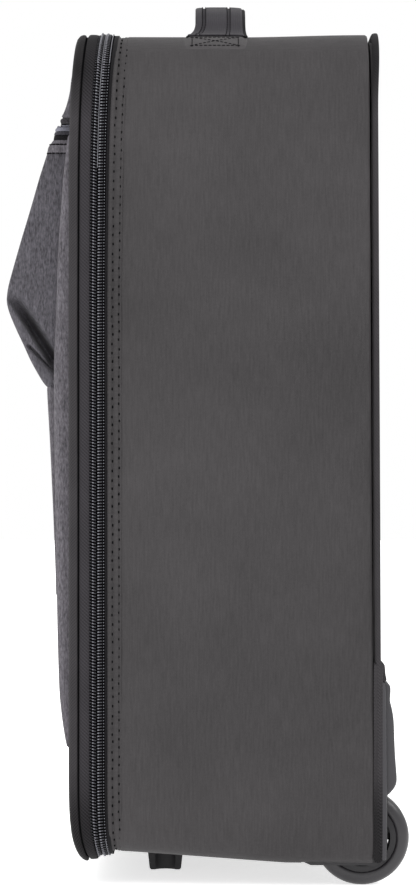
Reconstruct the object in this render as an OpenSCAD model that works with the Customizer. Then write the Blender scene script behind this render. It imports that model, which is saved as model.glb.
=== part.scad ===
// Two-wheeled soft-sided rolling laptop case with a front door, a laptop
// compartment, a bellows pocket and a telescopic pull handle.
// +X is the case's right side, +Y its back, +Z up. The floor is z = 0.

/* [Case] */
// Overall width of the case, over the edge bindings
case_w = 350; // [340:1:360]
// Height of the top edge of the frame above the floor
case_h = 552; // [545:1:560]
// Corner radius of the frame at the top, in front view
corner_r = 45; // [35:1:50]
// Corner radius of the frame at the base
base_corner_r = 20; // [18:1:24]
// Height of the base above the floor at its front edge
base_front_z = 22; // [21:0.5:24]
// Height of the base above the floor at its back edge
base_back_z = 11.6; // [11:0.2:13]
// Thickness of the foam-backed fabric walls
wall_t = 5; // [4:0.5:5]

/* [Depth stations] */
// Front face of the door's edge piping
piping_y = -89.5; // [-92:0.5:-89]
// Back of the piping, where the door's side strip begins
door_strip_y = -82; // [-83:0.5:-81]
// Back of the door's side strip, where its zip tape begins
door_tape_y = -74; // [-75:0.5:-73.5]
// Parting plane of the main zip, between door and shell
zip_y = -70; // [-70.5:0.5:-69.5]
// Back edge of the shell's zip tape
shell_tape_y = -65.5; // [-66:0.5:-65]
// Back edge of the folded seam strip, where the side walls begin
seam_y = -58; // [-60:0.5:-57]
// Back edge of the side walls
back_seam_y = 104; // [103.5:0.5:104]
// Outer face of the back binding
back_y = 110; // [109.5:0.5:110]

/* [Front pockets] */
// Width of the laptop compartment's raised front
laptop_w = 320; // [300:1:324]
// Width of the bellows pocket
pocket_w = 300; // [280:1:300]
// Furthest point of the bellows pocket in front
pocket_tip_y = -129.7; // [-132:0.1:-128]
// Length of the horizontal pocket zips
pocket_zip_w = 304; // [290:1:310]

/* [Carry handle] */
// Width of the padded strap
handle_w = 38; // [34:1:42]
// Middle of the strap, front to back
handle_y = 6; // [0:1:10]
// Height of the strap's top above the floor
handle_top = 576; // [572:1:580]

/* [Pull handle] */
// Distance of each tube from the middle of the case
tube_x = 62; // [58:1:66]
// Middle of the tubes, front to back
tube_y = 92.5; // [92:0.5:93]
// Width of the fixed outer tube
outer_tube_w = 22; // [22:1:24]
// Depth of the fixed outer tube
outer_tube_d = 14; // [14:1:15]
// Wall thickness of every tube
tube_wall = 1; // [0.8:0.1:1]
// Width of the grip
grip_w = 144; // [140:1:150]

/* [Wheels and foot] */
// Radius of the wheel over its tyre
wheel_r = 30.7; // [30:0.1:31]
// Width of the tyre
wheel_w = 22; // [20:1:22]
// Middle of each wheel, from the middle of the case
wheel_x = 151; // [150:0.5:151]
// Wheel axis, front to back
wheel_y = 99; // [98.5:0.5:99]
// Radius of the axle
axle_r = 3; // [2.5:0.1:3.5]
// Length of the foot bar
foot_w = 154; // [140:1:170]
// Middle of the foot bar, front to back
foot_y = -28.5; // [-32:0.5:-26]

/* [Hidden] */

side_grey = "#4e4c4d";
melange = "#69666c";
pocket_grey = "#59575c";
twill = "#3b3a3b";
black = "#242324";
guard_grey = "#4f4d50";
silver = "#b9bbc0";
steel = "#8d9096";
gap = 0.2;              // clearance between neighbouring pieces
arc_n = 8;              // chords in each rounded corner
half_w = case_w / 2;
split_x = half_w - corner_r - 2; // where the top and base meet the side walls
door_base_z = 16.6;     // underside of the door's piping
strip_base_z = base_front_z - 0.6;
back_base_z = base_back_z - 0.1;
edge_w = 6;             // width of the piping and binding, in front view
zip_coil_t = 1.5;       // height of the zip coil above its tape
hinge_side = [-half_w + 3, 70, case_h - 60]; // x limit and z span

well = [[133, 60, -1], [167.2, 125, 74]];    // room cut for a wheel
wheel_z = wheel_r;
cup = [[-86, 66, 516], [86, 103.5, case_h - 0.5]];
cup_t = 2;
mid_tube = [outer_tube_w - 3, outer_tube_d - 3];
inner_tube = [outer_tube_w - 6, outer_tube_d - 6];
tube_top_z = 510;
grip_z = 536;
grip_h = 19;
grip_y = 90;

zip_tilt = 59.7;        // lean of the front pocket zips, from lying flat
laptop_zip_mid = [-95.6, 492.9];
pocket_zip_mid = [-98.9, 487.1];
slider_pin_z = 4.6;     // height of a slider's pin above its chain
slider_w = 9;           // width of the main zip's sliders
puller_w = 7;
small_slider_w = 6.2;   // width of the front pockets' sliders
small_puller_w = 5;
laptop_slider_x = -142;
pocket_slider_x = -134;
main_slider_x = 8;

// Points of an arc about [cx, cz], from angle a to angle b.
function arc(cx, cz, r, a, b) =
    [for (i = [0:arc_n]) let (t = a + (b - a) * i / arc_n)
        [cx + r * cos(t), cz + r * sin(t)]];

// Rounded rectangle in front view, drawn in by t all round.
function outline(hw, z0, z1, rt, rb, t = 0) = concat(
    arc(hw - rb, z0 + rb, rb - t, -90, 0),
    arc(hw - rt, z1 - rt, rt - t, 0, 90),
    arc(rt - hw, z1 - rt, rt - t, 90, 180),
    arc(rb - hw, z0 + rb, rb - t, 180, 270));

function base_z(y) = base_front_z
    + (base_back_z - base_front_z) * (y - seam_y) / (back_seam_y - seam_y);
base_slope = atan((base_front_z - base_back_z) / (back_seam_y - seam_y));
function door_line(t) =
    outline(half_w, door_base_z, case_h - 1, corner_r, base_corner_r, t);
function strip_line(t) =
    outline(half_w - 0.4, strip_base_z, case_h - 1.2, corner_r, base_corner_r, t);
function zip_line(t) =
    outline(half_w, door_base_z + 1.4, case_h, corner_r, base_corner_r, t);
function back_line(t) =
    outline(half_w, back_base_z, case_h, corner_r, base_corner_r, t);
function shell_line(y, t) =
    outline(half_w - 1, base_z(y), case_h - 2, corner_r - 1, base_corner_r - 1, t);

// Rounded rectangle about the origin.
function plate_line(w, d, r) = concat(
    arc(w / 2 - r, r - d / 2, r, -90, 0), arc(w / 2 - r, d / 2 - r, r, 0, 90),
    arc(r - w / 2, d / 2 - r, r, 90, 180), arc(r - w / 2, r - d / 2, r, 180, 270));

// Raises a shape drawn in [x, z] between two depths.
module across_y(y0, y1) {
    translate([0, y1, 0]) rotate([90, 0, 0]) linear_extrude(y1 - y0) children();
}

// Raises a side profile drawn in [y, z] between two widths.
module across_x(x0, x1) {
    translate([x0, 0, 0]) rotate([90, 0, 90]) linear_extrude(x1 - x0) children();
}

module block(low, high) {
    translate(low) cube(high - low);
}

module pair() {
    children();
    mirror([1, 0, 0]) children();
}

module wheel_wells() {
    pair() block(well[0], well[1]);
}

// Room for the recessed cup of the pull handle, grown by m.
module cup_room(m) {
    block(cup[0] - [m, m, m], [cup[1].x + m, back_seam_y + 1, case_h + 5]);
}

// Leans a piece with the base, which falls towards the wheels.
module lean() {
    translate([0, seam_y, base_front_z]) rotate([-base_slope, 0, 0])
        translate([0, -seam_y, -base_front_z]) children();
}

// Band of the shell between two depths: upright above, leaning at the base.
module shell_band(t0, t1, y0, y1) {
    joint_z = 100;
    intersection() {
        ring(y0, y1, shell_line(y0, t0), shell_line(y0, t1));
        block([-half_w, -100, joint_z], [half_w, 120, case_h]);
    }
    intersection() {
        lean() ring(y0 - 20, y1 + 20, shell_line(seam_y, t0), shell_line(seam_y, t1));
        block([-half_w, y0, 0], [half_w, y1, joint_z]);
    }
}

// Flat ring between two outlines.
module ring(y0, y1, outer, inner) {
    across_y(y0, y1) difference() {
        polygon(outer);
        polygon(inner);
    }
}

// The stretch of edge on the far side where fabric replaces the zip.
module hinge_room(grow = 0) {
    block([-half_w - 1, -100, hinge_side.y - grow],
          [hinge_side.x, 0, hinge_side.z + grow]);
}

// ---- shell ----

module side_wall() {
    color(side_grey) difference() {
        shell_band(0, wall_t, seam_y, back_seam_y);
        block([-half_w - 5, -100, 0], [split_x, 120, case_h + 5]);
        wheel_wells();
    }
}

module side_wall_right() { side_wall(); }

module side_wall_left() { mirror([1, 0, 0]) side_wall(); }

module top_wall() {
    color(side_grey) difference() {
        shell_band(0, wall_t, seam_y, back_seam_y);
        block([-half_w - 5, -100, 0], [half_w + 5, 120, case_h / 2]);
        pair() block([split_x, -100, 0], [half_w + 5, 120, case_h + 5]);
        cup_room(gap);
    }
}

module base_wall() {
    color(side_grey) difference() {
        shell_band(0, wall_t, seam_y, back_seam_y);
        block([-half_w - 5, -100, case_h / 2], [half_w + 5, 120, case_h + 5]);
        pair() block([split_x, -100, 0], [half_w + 5, 120, case_h]);
    }
}

module back_panel() {
    color(side_grey) difference() {
        across_y(back_seam_y + 1, back_y - 1) polygon(back_line(edge_w + gap));
        wheel_wells();
    }
}

module back_binding() {
    color(twill) difference() {
        ring(back_seam_y, back_y, back_line(0), back_line(edge_w));
        wheel_wells();
    }
}

module seam_strip() {
    color(side_grey)
        ring(shell_tape_y + gap, seam_y, strip_line(0), strip_line(3));
}

module shell_zip_tape() {
    color(black) difference() {
        ring(zip_y + gap, shell_tape_y, zip_line(zip_coil_t),
             zip_line(2 * zip_coil_t));
        hinge_room();
    }
}

module shell_zip_coil() {
    color(twill) difference() {
        ring(zip_y + gap, shell_tape_y - 0.5, zip_line(0), zip_line(zip_coil_t));
        hinge_room();
    }
}

module hinge_strip() {
    color(side_grey) intersection() {
        ring(zip_y + gap, shell_tape_y, zip_line(0.5), zip_line(2.5));
        hinge_room(-gap);
    }
}

module lining() {
    t0 = wall_t + gap;
    t1 = t0 + 0.8;
    back_lining_y = 83;
    color(black) difference() {
        union() {
            shell_band(t0, t1, seam_y + 0.5, back_lining_y);
            across_y(back_lining_y, back_lining_y + 1)
                polygon(shell_line(back_lining_y, t0));
        }
        wheel_wells();
        cup_room(2);
    }
}

module base_board() {
    color(black) lean() block([-150, seam_y + 3, base_front_z + wall_t + 1.2],
                              [150, 58, base_front_z + wall_t + 3.7]);
}

module back_board() {
    color(black) difference() {
        across_y(back_seam_y - 3, back_seam_y - gap)
            polygon(outline(half_w - 7, 30, cup[0].z - 4, 30, 12));
        wheel_wells();
    }
}

module wire_frames() {
    hoop_in = wall_t + gap + 0.1;
    wire_t = 3.5;
    color(steel) {
        ring(shell_tape_y + 1, seam_y - 2.5, strip_line(3 + gap),
             strip_line(3 + gap + wire_t));
        difference() {
            ring(98.2, 100.8, shell_line(back_seam_y - 5, hoop_in),
                 shell_line(back_seam_y - 5, hoop_in + wire_t));
            wheel_wells();
            cup_room(2);
        }
    }
}

// ---- carry handle ----

// Thickness of the strap at point i of its path.
function strap_t(i) = min(5, 2.6 + 0.35 * i);

// Middle line of the strap's right half: round the corner of the shell,
// where it is sewn down, then up and over.
function handle_path() =
    let (cx = half_w - corner_r, cz = case_h - 1 - corner_r)
    concat(
        [for (i = [0:5]) let (a = 54 + 6 * i, r = corner_r - 1 + 2 * gap + strap_t(i) / 2)
            [cx + r * cos(a), cz + r * sin(a)]],
        [for (p = [[0, 21.5], [8, 15], [17, 9.2], [29, 5.2], [43, 3.2], [70, 2.5]])
            [cx - 1 - p.x, handle_top - p.y]]);

module carry_handle() {
    half = handle_path();
    path = concat(half, [for (i = [len(half) - 1:-1:0]) [-half[i].x, half[i].y]]);
    n = len(path);
    dir = [for (i = [0:n - 1]) let (d = path[min(i + 1, n - 1)] - path[max(i - 1, 0)])
        d / norm(d)];
    rise = [for (i = [0:n - 1]) strap_t(min(i, n - 1 - i)) / 2];
    color(twill) across_y(handle_y - handle_w / 2, handle_y + handle_w / 2)
        polygon(concat(
            [for (i = [0:n - 1]) path[i] + rise[i] * [dir[i].y, -dir[i].x]],
            [for (i = [n - 1:-1:0]) path[i] - rise[i] * [dir[i].y, -dir[i].x]]));
}

// ---- pull handle ----

module tubes(size, wall, z0, z1) {
    pair() translate([tube_x, tube_y, z0]) linear_extrude(z1 - z0) difference() {
        polygon(plate_line(size.x, size.y, 2.5));
        polygon(plate_line(size.x - 2 * wall, size.y - 2 * wall, 2));
    }
}

// Collars round both tubes, with a hole for a tube of the given size.
module collars(size, hole, z0, z1) {
    pair() translate([tube_x, tube_y, z0]) linear_extrude(z1 - z0) difference() {
        polygon(plate_line(size.x, size.y, 3));
        polygon(plate_line(hole.x + 0.8, hole.y + 0.8, 2.5));
    }
}

module handle_cup() {
    size = cup[1] - cup[0];
    mid = (cup[0] + cup[1]) / 2;
    color(black) difference() {
        union() {
            translate([0, mid.y, cup[0].z])
                linear_extrude(size.z) polygon(plate_line(size.x, size.y, 8));
            translate([0, mid.y - 2, case_h - 2 + 0.05])
                linear_extrude(1.5) polygon(plate_line(size.x + 8, size.y + 4, 10));
        }
        translate([0, mid.y, cup[0].z + cup_t])
            linear_extrude(size.z) polygon(
                plate_line(size.x - 2 * cup_t, size.y - 2 * cup_t, 6));
        pair() translate([tube_x, tube_y, cup[0].z - 1]) linear_extrude(5)
            polygon(plate_line(mid_tube.x + 1, mid_tube.y + 1, 2.5));
    }
}

module outer_tubes() {
    color(silver) tubes([outer_tube_w, outer_tube_d], tube_wall, 40.5, tube_top_z);
}

module tube_collars() {
    color(black) collars([outer_tube_w + 6, outer_tube_d + 3], mid_tube,
                         tube_top_z, cup[0].z);
}

module mid_tubes() {
    color(silver) tubes(mid_tube, tube_wall, 46, cup[0].z + 4);
}

module mid_collars() {
    color(black) collars(mid_tube + [5, 5], inner_tube,
                         cup[0].z + 4, cup[0].z + 9);
}

module inner_tubes() {
    color(silver) tubes(inner_tube, tube_wall, 52, grip_z);
}

module bottom_bracket() {
    low = [-80, 86, 18];
    high = [80, 100.8, 44];
    color(black) difference() {
        union() {
            block([low.x, low.y, low.z + 5.2], high);
            block([low.x, low.y, low.z], [high.x, 97.8, high.z]);
        }
        pair() translate([tube_x, tube_y, 40]) linear_extrude(5)
            polygon(plate_line(outer_tube_w + 0.3, outer_tube_d + 0.3, 2.6));
    }
}

module grip() {
    color(black) difference() {
        union() {
            translate([-grip_w / 2, grip_y, grip_z + grip_h / 2])
                rotate([90, 0, 90]) linear_extrude(grip_w)
                    polygon(plate_line(20, grip_h, 6));
            collars([20, 14], inner_tube - [0.6, 0.6], grip_z - 10, grip_z + 1);
        }
        // button recess with a blind hole for its spring
        translate([0, grip_y, grip_z + grip_h - 8]) linear_extrude(10)
            polygon(plate_line(35, 12, 4));
        translate([0, grip_y, grip_z + 5]) cylinder(r = 4.2, h = 10, $fn = 32);
    }
}

module grip_button() {
    color(guard_grey) translate([0, grip_y, grip_z + grip_h - 4]) linear_extrude(5)
        polygon(plate_line(34, 11, 3.5));
}

// Compression spring: one wire swept round a helix.
module button_spring() {
    turns = 4;
    steps = 14;
    sides = 6;
    wire_r = 0.4;
    coil_r = 3.2;
    low = grip_z + 5.5;
    high = grip_z + grip_h - 4.6;
    n = turns * steps;
    points = [for (i = [0:n]) let (a = 360 * i / steps, z = low + (high - low) * i / n)
        for (j = [0:sides - 1]) let (b = 360 * j / sides, r = coil_r + wire_r * cos(b))
            [r * cos(a), grip_y + r * sin(a), z + wire_r * sin(b)]];
    sides_faces = [for (i = [0:n - 1]) for (j = [0:sides - 1])
        let (a = i * sides + j, b = i * sides + (j + 1) % sides)
            [a, b, b + sides, a + sides]];
    color(steel) polyhedron(points, concat(sides_faces,
        [[for (j = [sides - 1:-1:0]) j], [for (j = [0:sides - 1]) n * sides + j]]));
}

// ---- wheels, housings and foot ----

// Side view of the housing's cheeks.
housing_line = [[61, 16], [61, 60], [70, 70], [106, 70], [109.8, 67.5],
    [109.8, 59.2], [115.4, 59.2], [115.3, 30], [114.4, 20], [111.5, 15], [107, 13.6], [66, 13.8]];

module wheel_housing() {
    cheek_t = 3;
    inner_x = wheel_x - wheel_w / 2 - 2;
    outer_x = wheel_x + wheel_w / 2 + 2;
    arch_r = wheel_r + 2.3;
    color(black) difference() {
        union() {
            across_x(inner_x - cheek_t, inner_x) polygon(housing_line);
            across_x(outer_x, outer_x + cheek_t) polygon(housing_line);
            across_x(inner_x, outer_x) polygon(concat(
                arc(wheel_y, wheel_z, arch_r, 73, 205),
                arc(wheel_y, wheel_z, arch_r + 3, 205, 73)));
        }
        translate([inner_x - 10, wheel_y, wheel_z]) rotate([0, 90, 0])
            cylinder(r = axle_r + 0.05, h = 60, $fn = 48);
    }
}

module wheel_housing_right() { wheel_housing(); }

module wheel_housing_left() { mirror([1, 0, 0]) wheel_housing(); }

// Side view of the kick plate that stands on the back above each wheel.
guard_line = [[110, 132.5], [113.7, 132.1], [116, 130.8], [116.9, 128.5],
    [116.6, 120], [117.9, 114.8], [118.9, 103.7], [119.4, 88.8], [119.6, 83],
    [120.5, 75], [120.9, 70.2], [120.3, 65.8], [118.3, 62.5], [115.6, 59.4],
    [110, 62]];

// Rivets of the kick plates, as [height, depth of the plate's face there].
rivet_x = [138, 164];
rivets = [[70, 120.9], [124, 116.8]];
rivet_r = 1.6;
rivet_head_r = 3;
rivet_head_t = 1;

// Every rivet, grown by fit all round and standing out by proud.
module rivet_set(fit, proud) {
    pair() for (x = rivet_x, rivet = rivets)
        translate([x, rivet.y + proud, rivet.x]) rotate([90, 0, 0]) {
            cylinder(r = rivet_head_r + fit, h = rivet_head_t + proud + fit, $fn = 32);
            cylinder(r = rivet_r + fit, h = rivet.y - back_y + 2, $fn = 32);
        }
}

module corner_guards() {
    color(guard_grey) difference() {
        pair() across_x(130, half_w - 3) polygon(guard_line);
        rivet_set(0.05, 1);
    }
}

module guard_tabs() {
    color(twill) pair() across_x(130, half_w - 3)
        polygon([[110, 132.7], [114, 132.7], [113, 144.5], [110, 145.5]]);
}

module axles() {
    inner_x = wheel_x - wheel_w / 2 - 5;
    color(steel) pair() translate([inner_x, wheel_y, wheel_z]) rotate([0, 90, 0]) {
        cylinder(r = axle_r, h = wheel_w + 10, $fn = 48);
        translate([0, 0, -1.5]) cylinder(r = 5, h = 1.5, $fn = 48);
    }
}

module tyre() {
    bead_r = 22.2;
    hw = wheel_w / 2;
    color(black) translate([wheel_x, wheel_y, wheel_z]) rotate([0, 90, 0])
        rotate_extrude($fn = 96) polygon(concat(
            [[bead_r, -hw + 1], [bead_r + 2, -hw]],
            [for (a = [-90:15:90]) [wheel_r - 6 + 6 * cos(a),
                (hw - 6) * sign(a) + 6 * sin(a)]],
            [[bead_r + 2, hw], [bead_r, hw - 1]]));
}

module rim() {
    spokes = 5;
    bore_r = 18.4;          // inside of the ring
    web_z = -8;             // back face of the web, from the middle of the wheel
    drain_at = 17.2;
    drain_turn = 76.5;
    color(twill) translate([wheel_x, wheel_y, wheel_z]) rotate([0, 90, 0]) {
        difference() {
            translate([0, 0, -9.5]) cylinder(r = 22.1, h = 19, $fn = 96);
            translate([0, 0, -10]) cylinder(r = bore_r, h = 20, $fn = 96);
        }
        difference() {
            union() {
                translate([0, 0, -wheel_w / 2 - 0.5])
                    cylinder(r = 8.5, h = wheel_w + 1, $fn = 64);
                for (i = [0:spokes - 1]) rotate([0, 0, 36 + i * 360 / spokes])
                    translate([5.5, -2.6, -7]) cube([bore_r - 4.5, 5.2, 14]);
            }
            translate([0, 0, -20]) cylinder(r = 5, h = 40, $fn = 48);
        }
        // dished web behind the spokes, with a small drain hole between each pair
        difference() {
            translate([0, 0, web_z]) cylinder(r = bore_r + 1, h = 2.4, $fn = 96);
            translate([0, 0, web_z - 1]) cylinder(r = 7, h = 5, $fn = 48);
            for (i = [0:spokes - 1]) rotate([0, 0, drain_turn + i * 360 / spokes])
                translate([drain_at, 0, web_z - 1]) cylinder(r = 1.5, h = 5, $fn = 24);
        }
    }
}

module bush() {
    color(steel) translate([wheel_x, wheel_y, wheel_z]) rotate([0, 90, 0])
        translate([0, 0, -wheel_w / 2 - 1]) difference() {
            cylinder(r = 4.95, h = wheel_w + 2, $fn = 48);
            translate([0, 0, -1])
                cylinder(r = axle_r + 0.05, h = wheel_w + 4, $fn = 48);
        }
}

module tyre_right() { tyre(); }

module tyre_left() { mirror([1, 0, 0]) tyre(); }

module rim_right() { rim(); }

module rim_left() { mirror([1, 0, 0]) rim(); }

module bush_right() { bush(); }

module bush_left() { mirror([1, 0, 0]) bush(); }

foot_screw_x = 52;
foot_h = base_z(foot_y + 12.5) - 0.1;

module foot_bar() {
    color(black) difference() {
        across_x(-foot_w / 2, foot_w / 2) polygon([[foot_y - 12.5, foot_h],
            [foot_y - 10.5, 1], [foot_y - 9.5, 0], [foot_y + 9.5, 0],
            [foot_y + 10.5, 1], [foot_y + 12.5, foot_h]]);
        pair() {
            // finger-wide scoop in each end
            translate([foot_w / 2 + 2, foot_y, -1]) cylinder(r = 7, h = 14, $fn = 48);
            translate([foot_screw_x, foot_y, -1]) cylinder(r = 4, h = 5, $fn = 32);
        }
    }
}

module screws() {
    color(steel) {
        pair() translate([foot_screw_x, foot_y, 0]) {
            translate([0, 0, 1.6]) cylinder(r = 3.6, h = 2.4, $fn = 32);
            translate([0, 0, 4]) cylinder(r = 1.8, h = foot_h, $fn = 32);
        }
        rivet_set(0, 0);
    }
}

// ---- door ----

module door_piping() {
    color(twill) ring(piping_y, door_strip_y, door_line(0), door_line(edge_w));
}

module door_side_strip() {
    color(twill) {
        ring(door_strip_y, door_tape_y, door_line(1), door_line(4));
        intersection() {
            ring(door_tape_y, zip_y - gap, door_line(1), door_line(2.5));
            hinge_room(-gap);
        }
    }
}

module door_zip_tape() {
    color(black) difference() {
        ring(door_tape_y, zip_y - gap, zip_line(zip_coil_t), zip_line(2 * zip_coil_t));
        hinge_room();
    }
}

module door_zip_coil() {
    color(twill) difference() {
        ring(door_tape_y + 0.5, zip_y - gap, zip_line(0), zip_line(zip_coil_t));
        hinge_room();
    }
}

module door_board() {
    color(black) across_y(door_tape_y + 0.1, zip_y - 1) polygon(zip_line(3.3));
}

module door_wire() {
    color(steel) ring(door_strip_y + 2, door_tape_y - 3, door_line(4 + gap),
                      door_line(4 + gap + 3.3));
}

module front_brow() {
    bottom_z = 495.8;
    color(melange) intersection() {
        across_x(-half_w, half_w) polygon([[-84.5, case_h], [-87.5, case_h],
            [-88.6, 520], [-89.2, 508], [-94.3, bottom_z], [-92.2, bottom_z],
            [-87.2, 507], [-86.6, 520]]);
        across_y(-100, -80) polygon(door_line(edge_w + gap));
    }
}

// Side profile of the laptop compartment's raised front, drawn in by t.
function lens_line(t) = [[-80, 88 + t], [t - 90.5, 88 + t], [t - 95.2, 125],
    [t - 97.8, 220], [t - 99.4, 300], [t - 99.4, 338], [t - 98, 366],
    [t - 96.5, 408], [t - 93.5, 449], [t - 90.5, 486], [-80, 486]];

module lens(t) {
    across_x(t - laptop_w / 2, laptop_w / 2 - t) polygon(lens_line(t));
}

module laptop_front() {
    field_y = [-86, -84];
    color(melange) difference() {
        union() {
            lens(0);
            intersection() {
                across_y(field_y[0], field_y[1]) polygon(door_line(edge_w + gap));
                block([-half_w, -100, 0], [half_w, 0, 486]);
            }
        }
        lens(2);
        block([-laptop_w / 2 + 2, -84, 0], [laptop_w / 2 - 2, 0, 480]);
        block([-laptop_w / 2 + 2, -88, 400], [laptop_w / 2 - 2, 0, 500]);
        block([-half_w, field_y[1], 0], [half_w, 0, case_h]);
    }
}

module flat_pocket() {
    color(melange) difference() {
        across_x(-pocket_w / 2, pocket_w / 2) polygon([[-90, 186], [-97.3, 186],
            [-98.4, 205], [-99.8, 233], [-101.3, 262], [-102.8, 290],
            [-103.9, 310], [-104.4, 320], [-90, 320]]);
        lens(-gap);
    }
}

// Side profile of the bellows pocket, drawn in by t.
function bellows_line(t) =
    let (tip = pocket_tip_y + t)
    [[-85, 484], [t - 99.8, 484], [t - 103.6, 474], [t - 109, 454],
     [t - 120.3, 415.5], [tip + 1.6, 387], [tip, 378], [tip + 0.6, 373],
     [tip + 2.4, 367], [t - 114.5, 338.2], [t - 104.6, 321 + t], [-85, 321 + t]];

module bellows_pocket() {
    fabric_t = 1.8;
    color(pocket_grey) difference() {
        across_x(-pocket_w / 2, pocket_w / 2) polygon(bellows_line(0));
        across_x(fabric_t - pocket_w / 2, pocket_w / 2 - fabric_t)
            polygon([for (p = bellows_line(fabric_t))
                [p.x, p.y > 480 ? p.y + 1 : p.y]]);
        lens(-gap);
    }
}

// Tape and closed chain of a horizontal pocket zip.
module pocket_zip_strip(mid) {
    translate([-pocket_zip_w / 2, mid.x, mid.y]) rotate([zip_tilt, 0, 0]) {
        translate([0, -2.8, -1]) cube([pocket_zip_w, 5.6, 0.8]);
        translate([0, -1.6, -0.4]) cube([pocket_zip_w, 3.2, 1]);
    }
}

module laptop_zip() { color(black) pocket_zip_strip(laptop_zip_mid); }

module pocket_zip() { color(black) pocket_zip_strip(pocket_zip_mid); }

// ---- zip sliders ----

// Half the room between the lugs of a slider of width w.
function lug_y(w) = w / 2 - 1.4;

// A slider on a chain along X: plate, two lugs and the pin for its puller.
module slider(w) {
    lug_t = 1;
    pin_half = lug_y(w) + lug_t / 2;
    color(steel) {
        translate([0, 0, 0.9]) linear_extrude(1.8) polygon(plate_line(12, w, 2.5));
        for (y = [lug_y(w), -lug_y(w) - lug_t]) translate([-1.4, y, 2.6])
            cube([2.8, lug_t, slider_pin_z - 1.5]);
        translate([0, pin_half, slider_pin_z]) rotate([90, 0, 0])
            cylinder(r = 0.8, h = 2 * pin_half, $fn = 24);
    }
}

// The puller, of width pw, of a slider of width w, lying along +X from the pin.
module puller(w, pw) {
    ring_half = lug_y(w) - 0.3;
    color(black) difference() {
        union() {
            translate([0, ring_half, slider_pin_z]) rotate([90, 0, 0])
                cylinder(r = 1.7, h = 2 * ring_half, $fn = 32);
            translate([0, -ring_half, slider_pin_z - 0.7])
                cube([4, 2 * ring_half, 1.4]);
            translate([16, 0, slider_pin_z - 0.9]) linear_extrude(1.8)
                polygon(plate_line(26, pw, 2.4));
        }
        translate([0, 4, slider_pin_z]) rotate([90, 0, 0])
            cylinder(r = 0.86, h = 8, $fn = 24);
        translate([24, 0, 0]) cylinder(r = 1.6, h = 10, $fn = 24);
    }
}

// Places a piece on the main zip's top run.
module on_top_zip() {
    translate([main_slider_x, zip_y, case_h]) children();
}

// Places a piece on a front pocket's zip.
module on_front_zip(x, mid) {
    translate([x, mid.x, mid.y]) rotate([zip_tilt, 0, 0]) children();
}

module small_slider() { slider(small_slider_w); }

module small_puller() { puller(small_slider_w, small_puller_w); }

module main_slider_right() { on_top_zip() slider(slider_w); }

module main_slider_left() { mirror([1, 0, 0]) main_slider_right(); }

module main_puller_right() { on_top_zip() puller(slider_w, puller_w); }

module main_puller_left() { mirror([1, 0, 0]) main_puller_right(); }

module laptop_slider() {
    on_front_zip(laptop_slider_x, laptop_zip_mid) small_slider();
}

module laptop_puller() {
    on_front_zip(laptop_slider_x, laptop_zip_mid) small_puller();
}

module pocket_slider() {
    on_front_zip(pocket_slider_x, pocket_zip_mid) small_slider();
}

module pocket_puller() {
    on_front_zip(pocket_slider_x, pocket_zip_mid) small_puller();
}

side_wall_right();
side_wall_left();
top_wall();
base_wall();
back_panel();
back_binding();
seam_strip();
shell_zip_tape();
shell_zip_coil();
lining();
base_board();
back_board();
wire_frames();
hinge_strip();
carry_handle();
handle_cup();
tube_collars();
outer_tubes();
bottom_bracket();
screws();
wheel_housing_right();
wheel_housing_left();
corner_guards();
guard_tabs();
axles();
foot_bar();
door_piping();
door_side_strip();
door_zip_tape();
door_zip_coil();
door_board();
door_wire();
front_brow();
laptop_front();
laptop_zip();
flat_pocket();
bellows_pocket();
pocket_zip();
tyre_right();
rim_right();
bush_right();
tyre_left();
rim_left();
bush_left();
mid_tubes();
mid_collars();
inner_tubes();
grip();
grip_button();
button_spring();
main_slider_right();
main_slider_left();
main_puller_right();
main_puller_left();
laptop_slider();
laptop_puller();
pocket_slider();
pocket_puller();
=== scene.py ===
"""Looks of the rolling laptop case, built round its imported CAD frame.

Lengths in the geometry code are millimetres, and MM turns them into the frame's metres.
"""

import math

import bmesh
import bpy
import numpy as np
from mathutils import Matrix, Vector


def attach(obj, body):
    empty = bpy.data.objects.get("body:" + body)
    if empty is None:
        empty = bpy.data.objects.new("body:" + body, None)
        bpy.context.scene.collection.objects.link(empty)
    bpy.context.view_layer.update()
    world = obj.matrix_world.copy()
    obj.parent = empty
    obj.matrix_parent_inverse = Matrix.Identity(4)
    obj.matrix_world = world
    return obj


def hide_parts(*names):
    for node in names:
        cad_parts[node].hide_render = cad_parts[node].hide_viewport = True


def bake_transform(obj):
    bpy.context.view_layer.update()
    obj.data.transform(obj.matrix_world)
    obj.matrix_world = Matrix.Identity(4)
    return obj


MM = 0.001
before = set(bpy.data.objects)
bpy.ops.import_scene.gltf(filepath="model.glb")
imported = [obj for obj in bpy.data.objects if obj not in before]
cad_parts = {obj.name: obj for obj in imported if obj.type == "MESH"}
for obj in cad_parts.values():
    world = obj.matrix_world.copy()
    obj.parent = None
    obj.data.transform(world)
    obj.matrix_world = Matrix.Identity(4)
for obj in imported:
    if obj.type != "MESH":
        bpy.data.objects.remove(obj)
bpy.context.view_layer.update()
scene = bpy.context.scene


# ---- camera, light and floor ----

EYE = (2.375, 0, 0.2827)   # the camera's place, level with the middle of the case
FOCAL_LENGTH = 138.6
AIM = Vector((0, 0, 0.28))   # where the lights point
FLOOR_GLOW = 0.68


def make_camera():
    data = bpy.data.cameras.new("camera")
    data.sensor_width = 36
    data.lens = FOCAL_LENGTH
    data.clip_end = 50
    camera = bpy.data.objects.new("camera", data)
    camera.location = EYE
    camera.rotation_euler = (math.pi / 2, 0, math.pi / 2)
    scene.collection.objects.link(camera)
    scene.camera = camera


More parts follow.
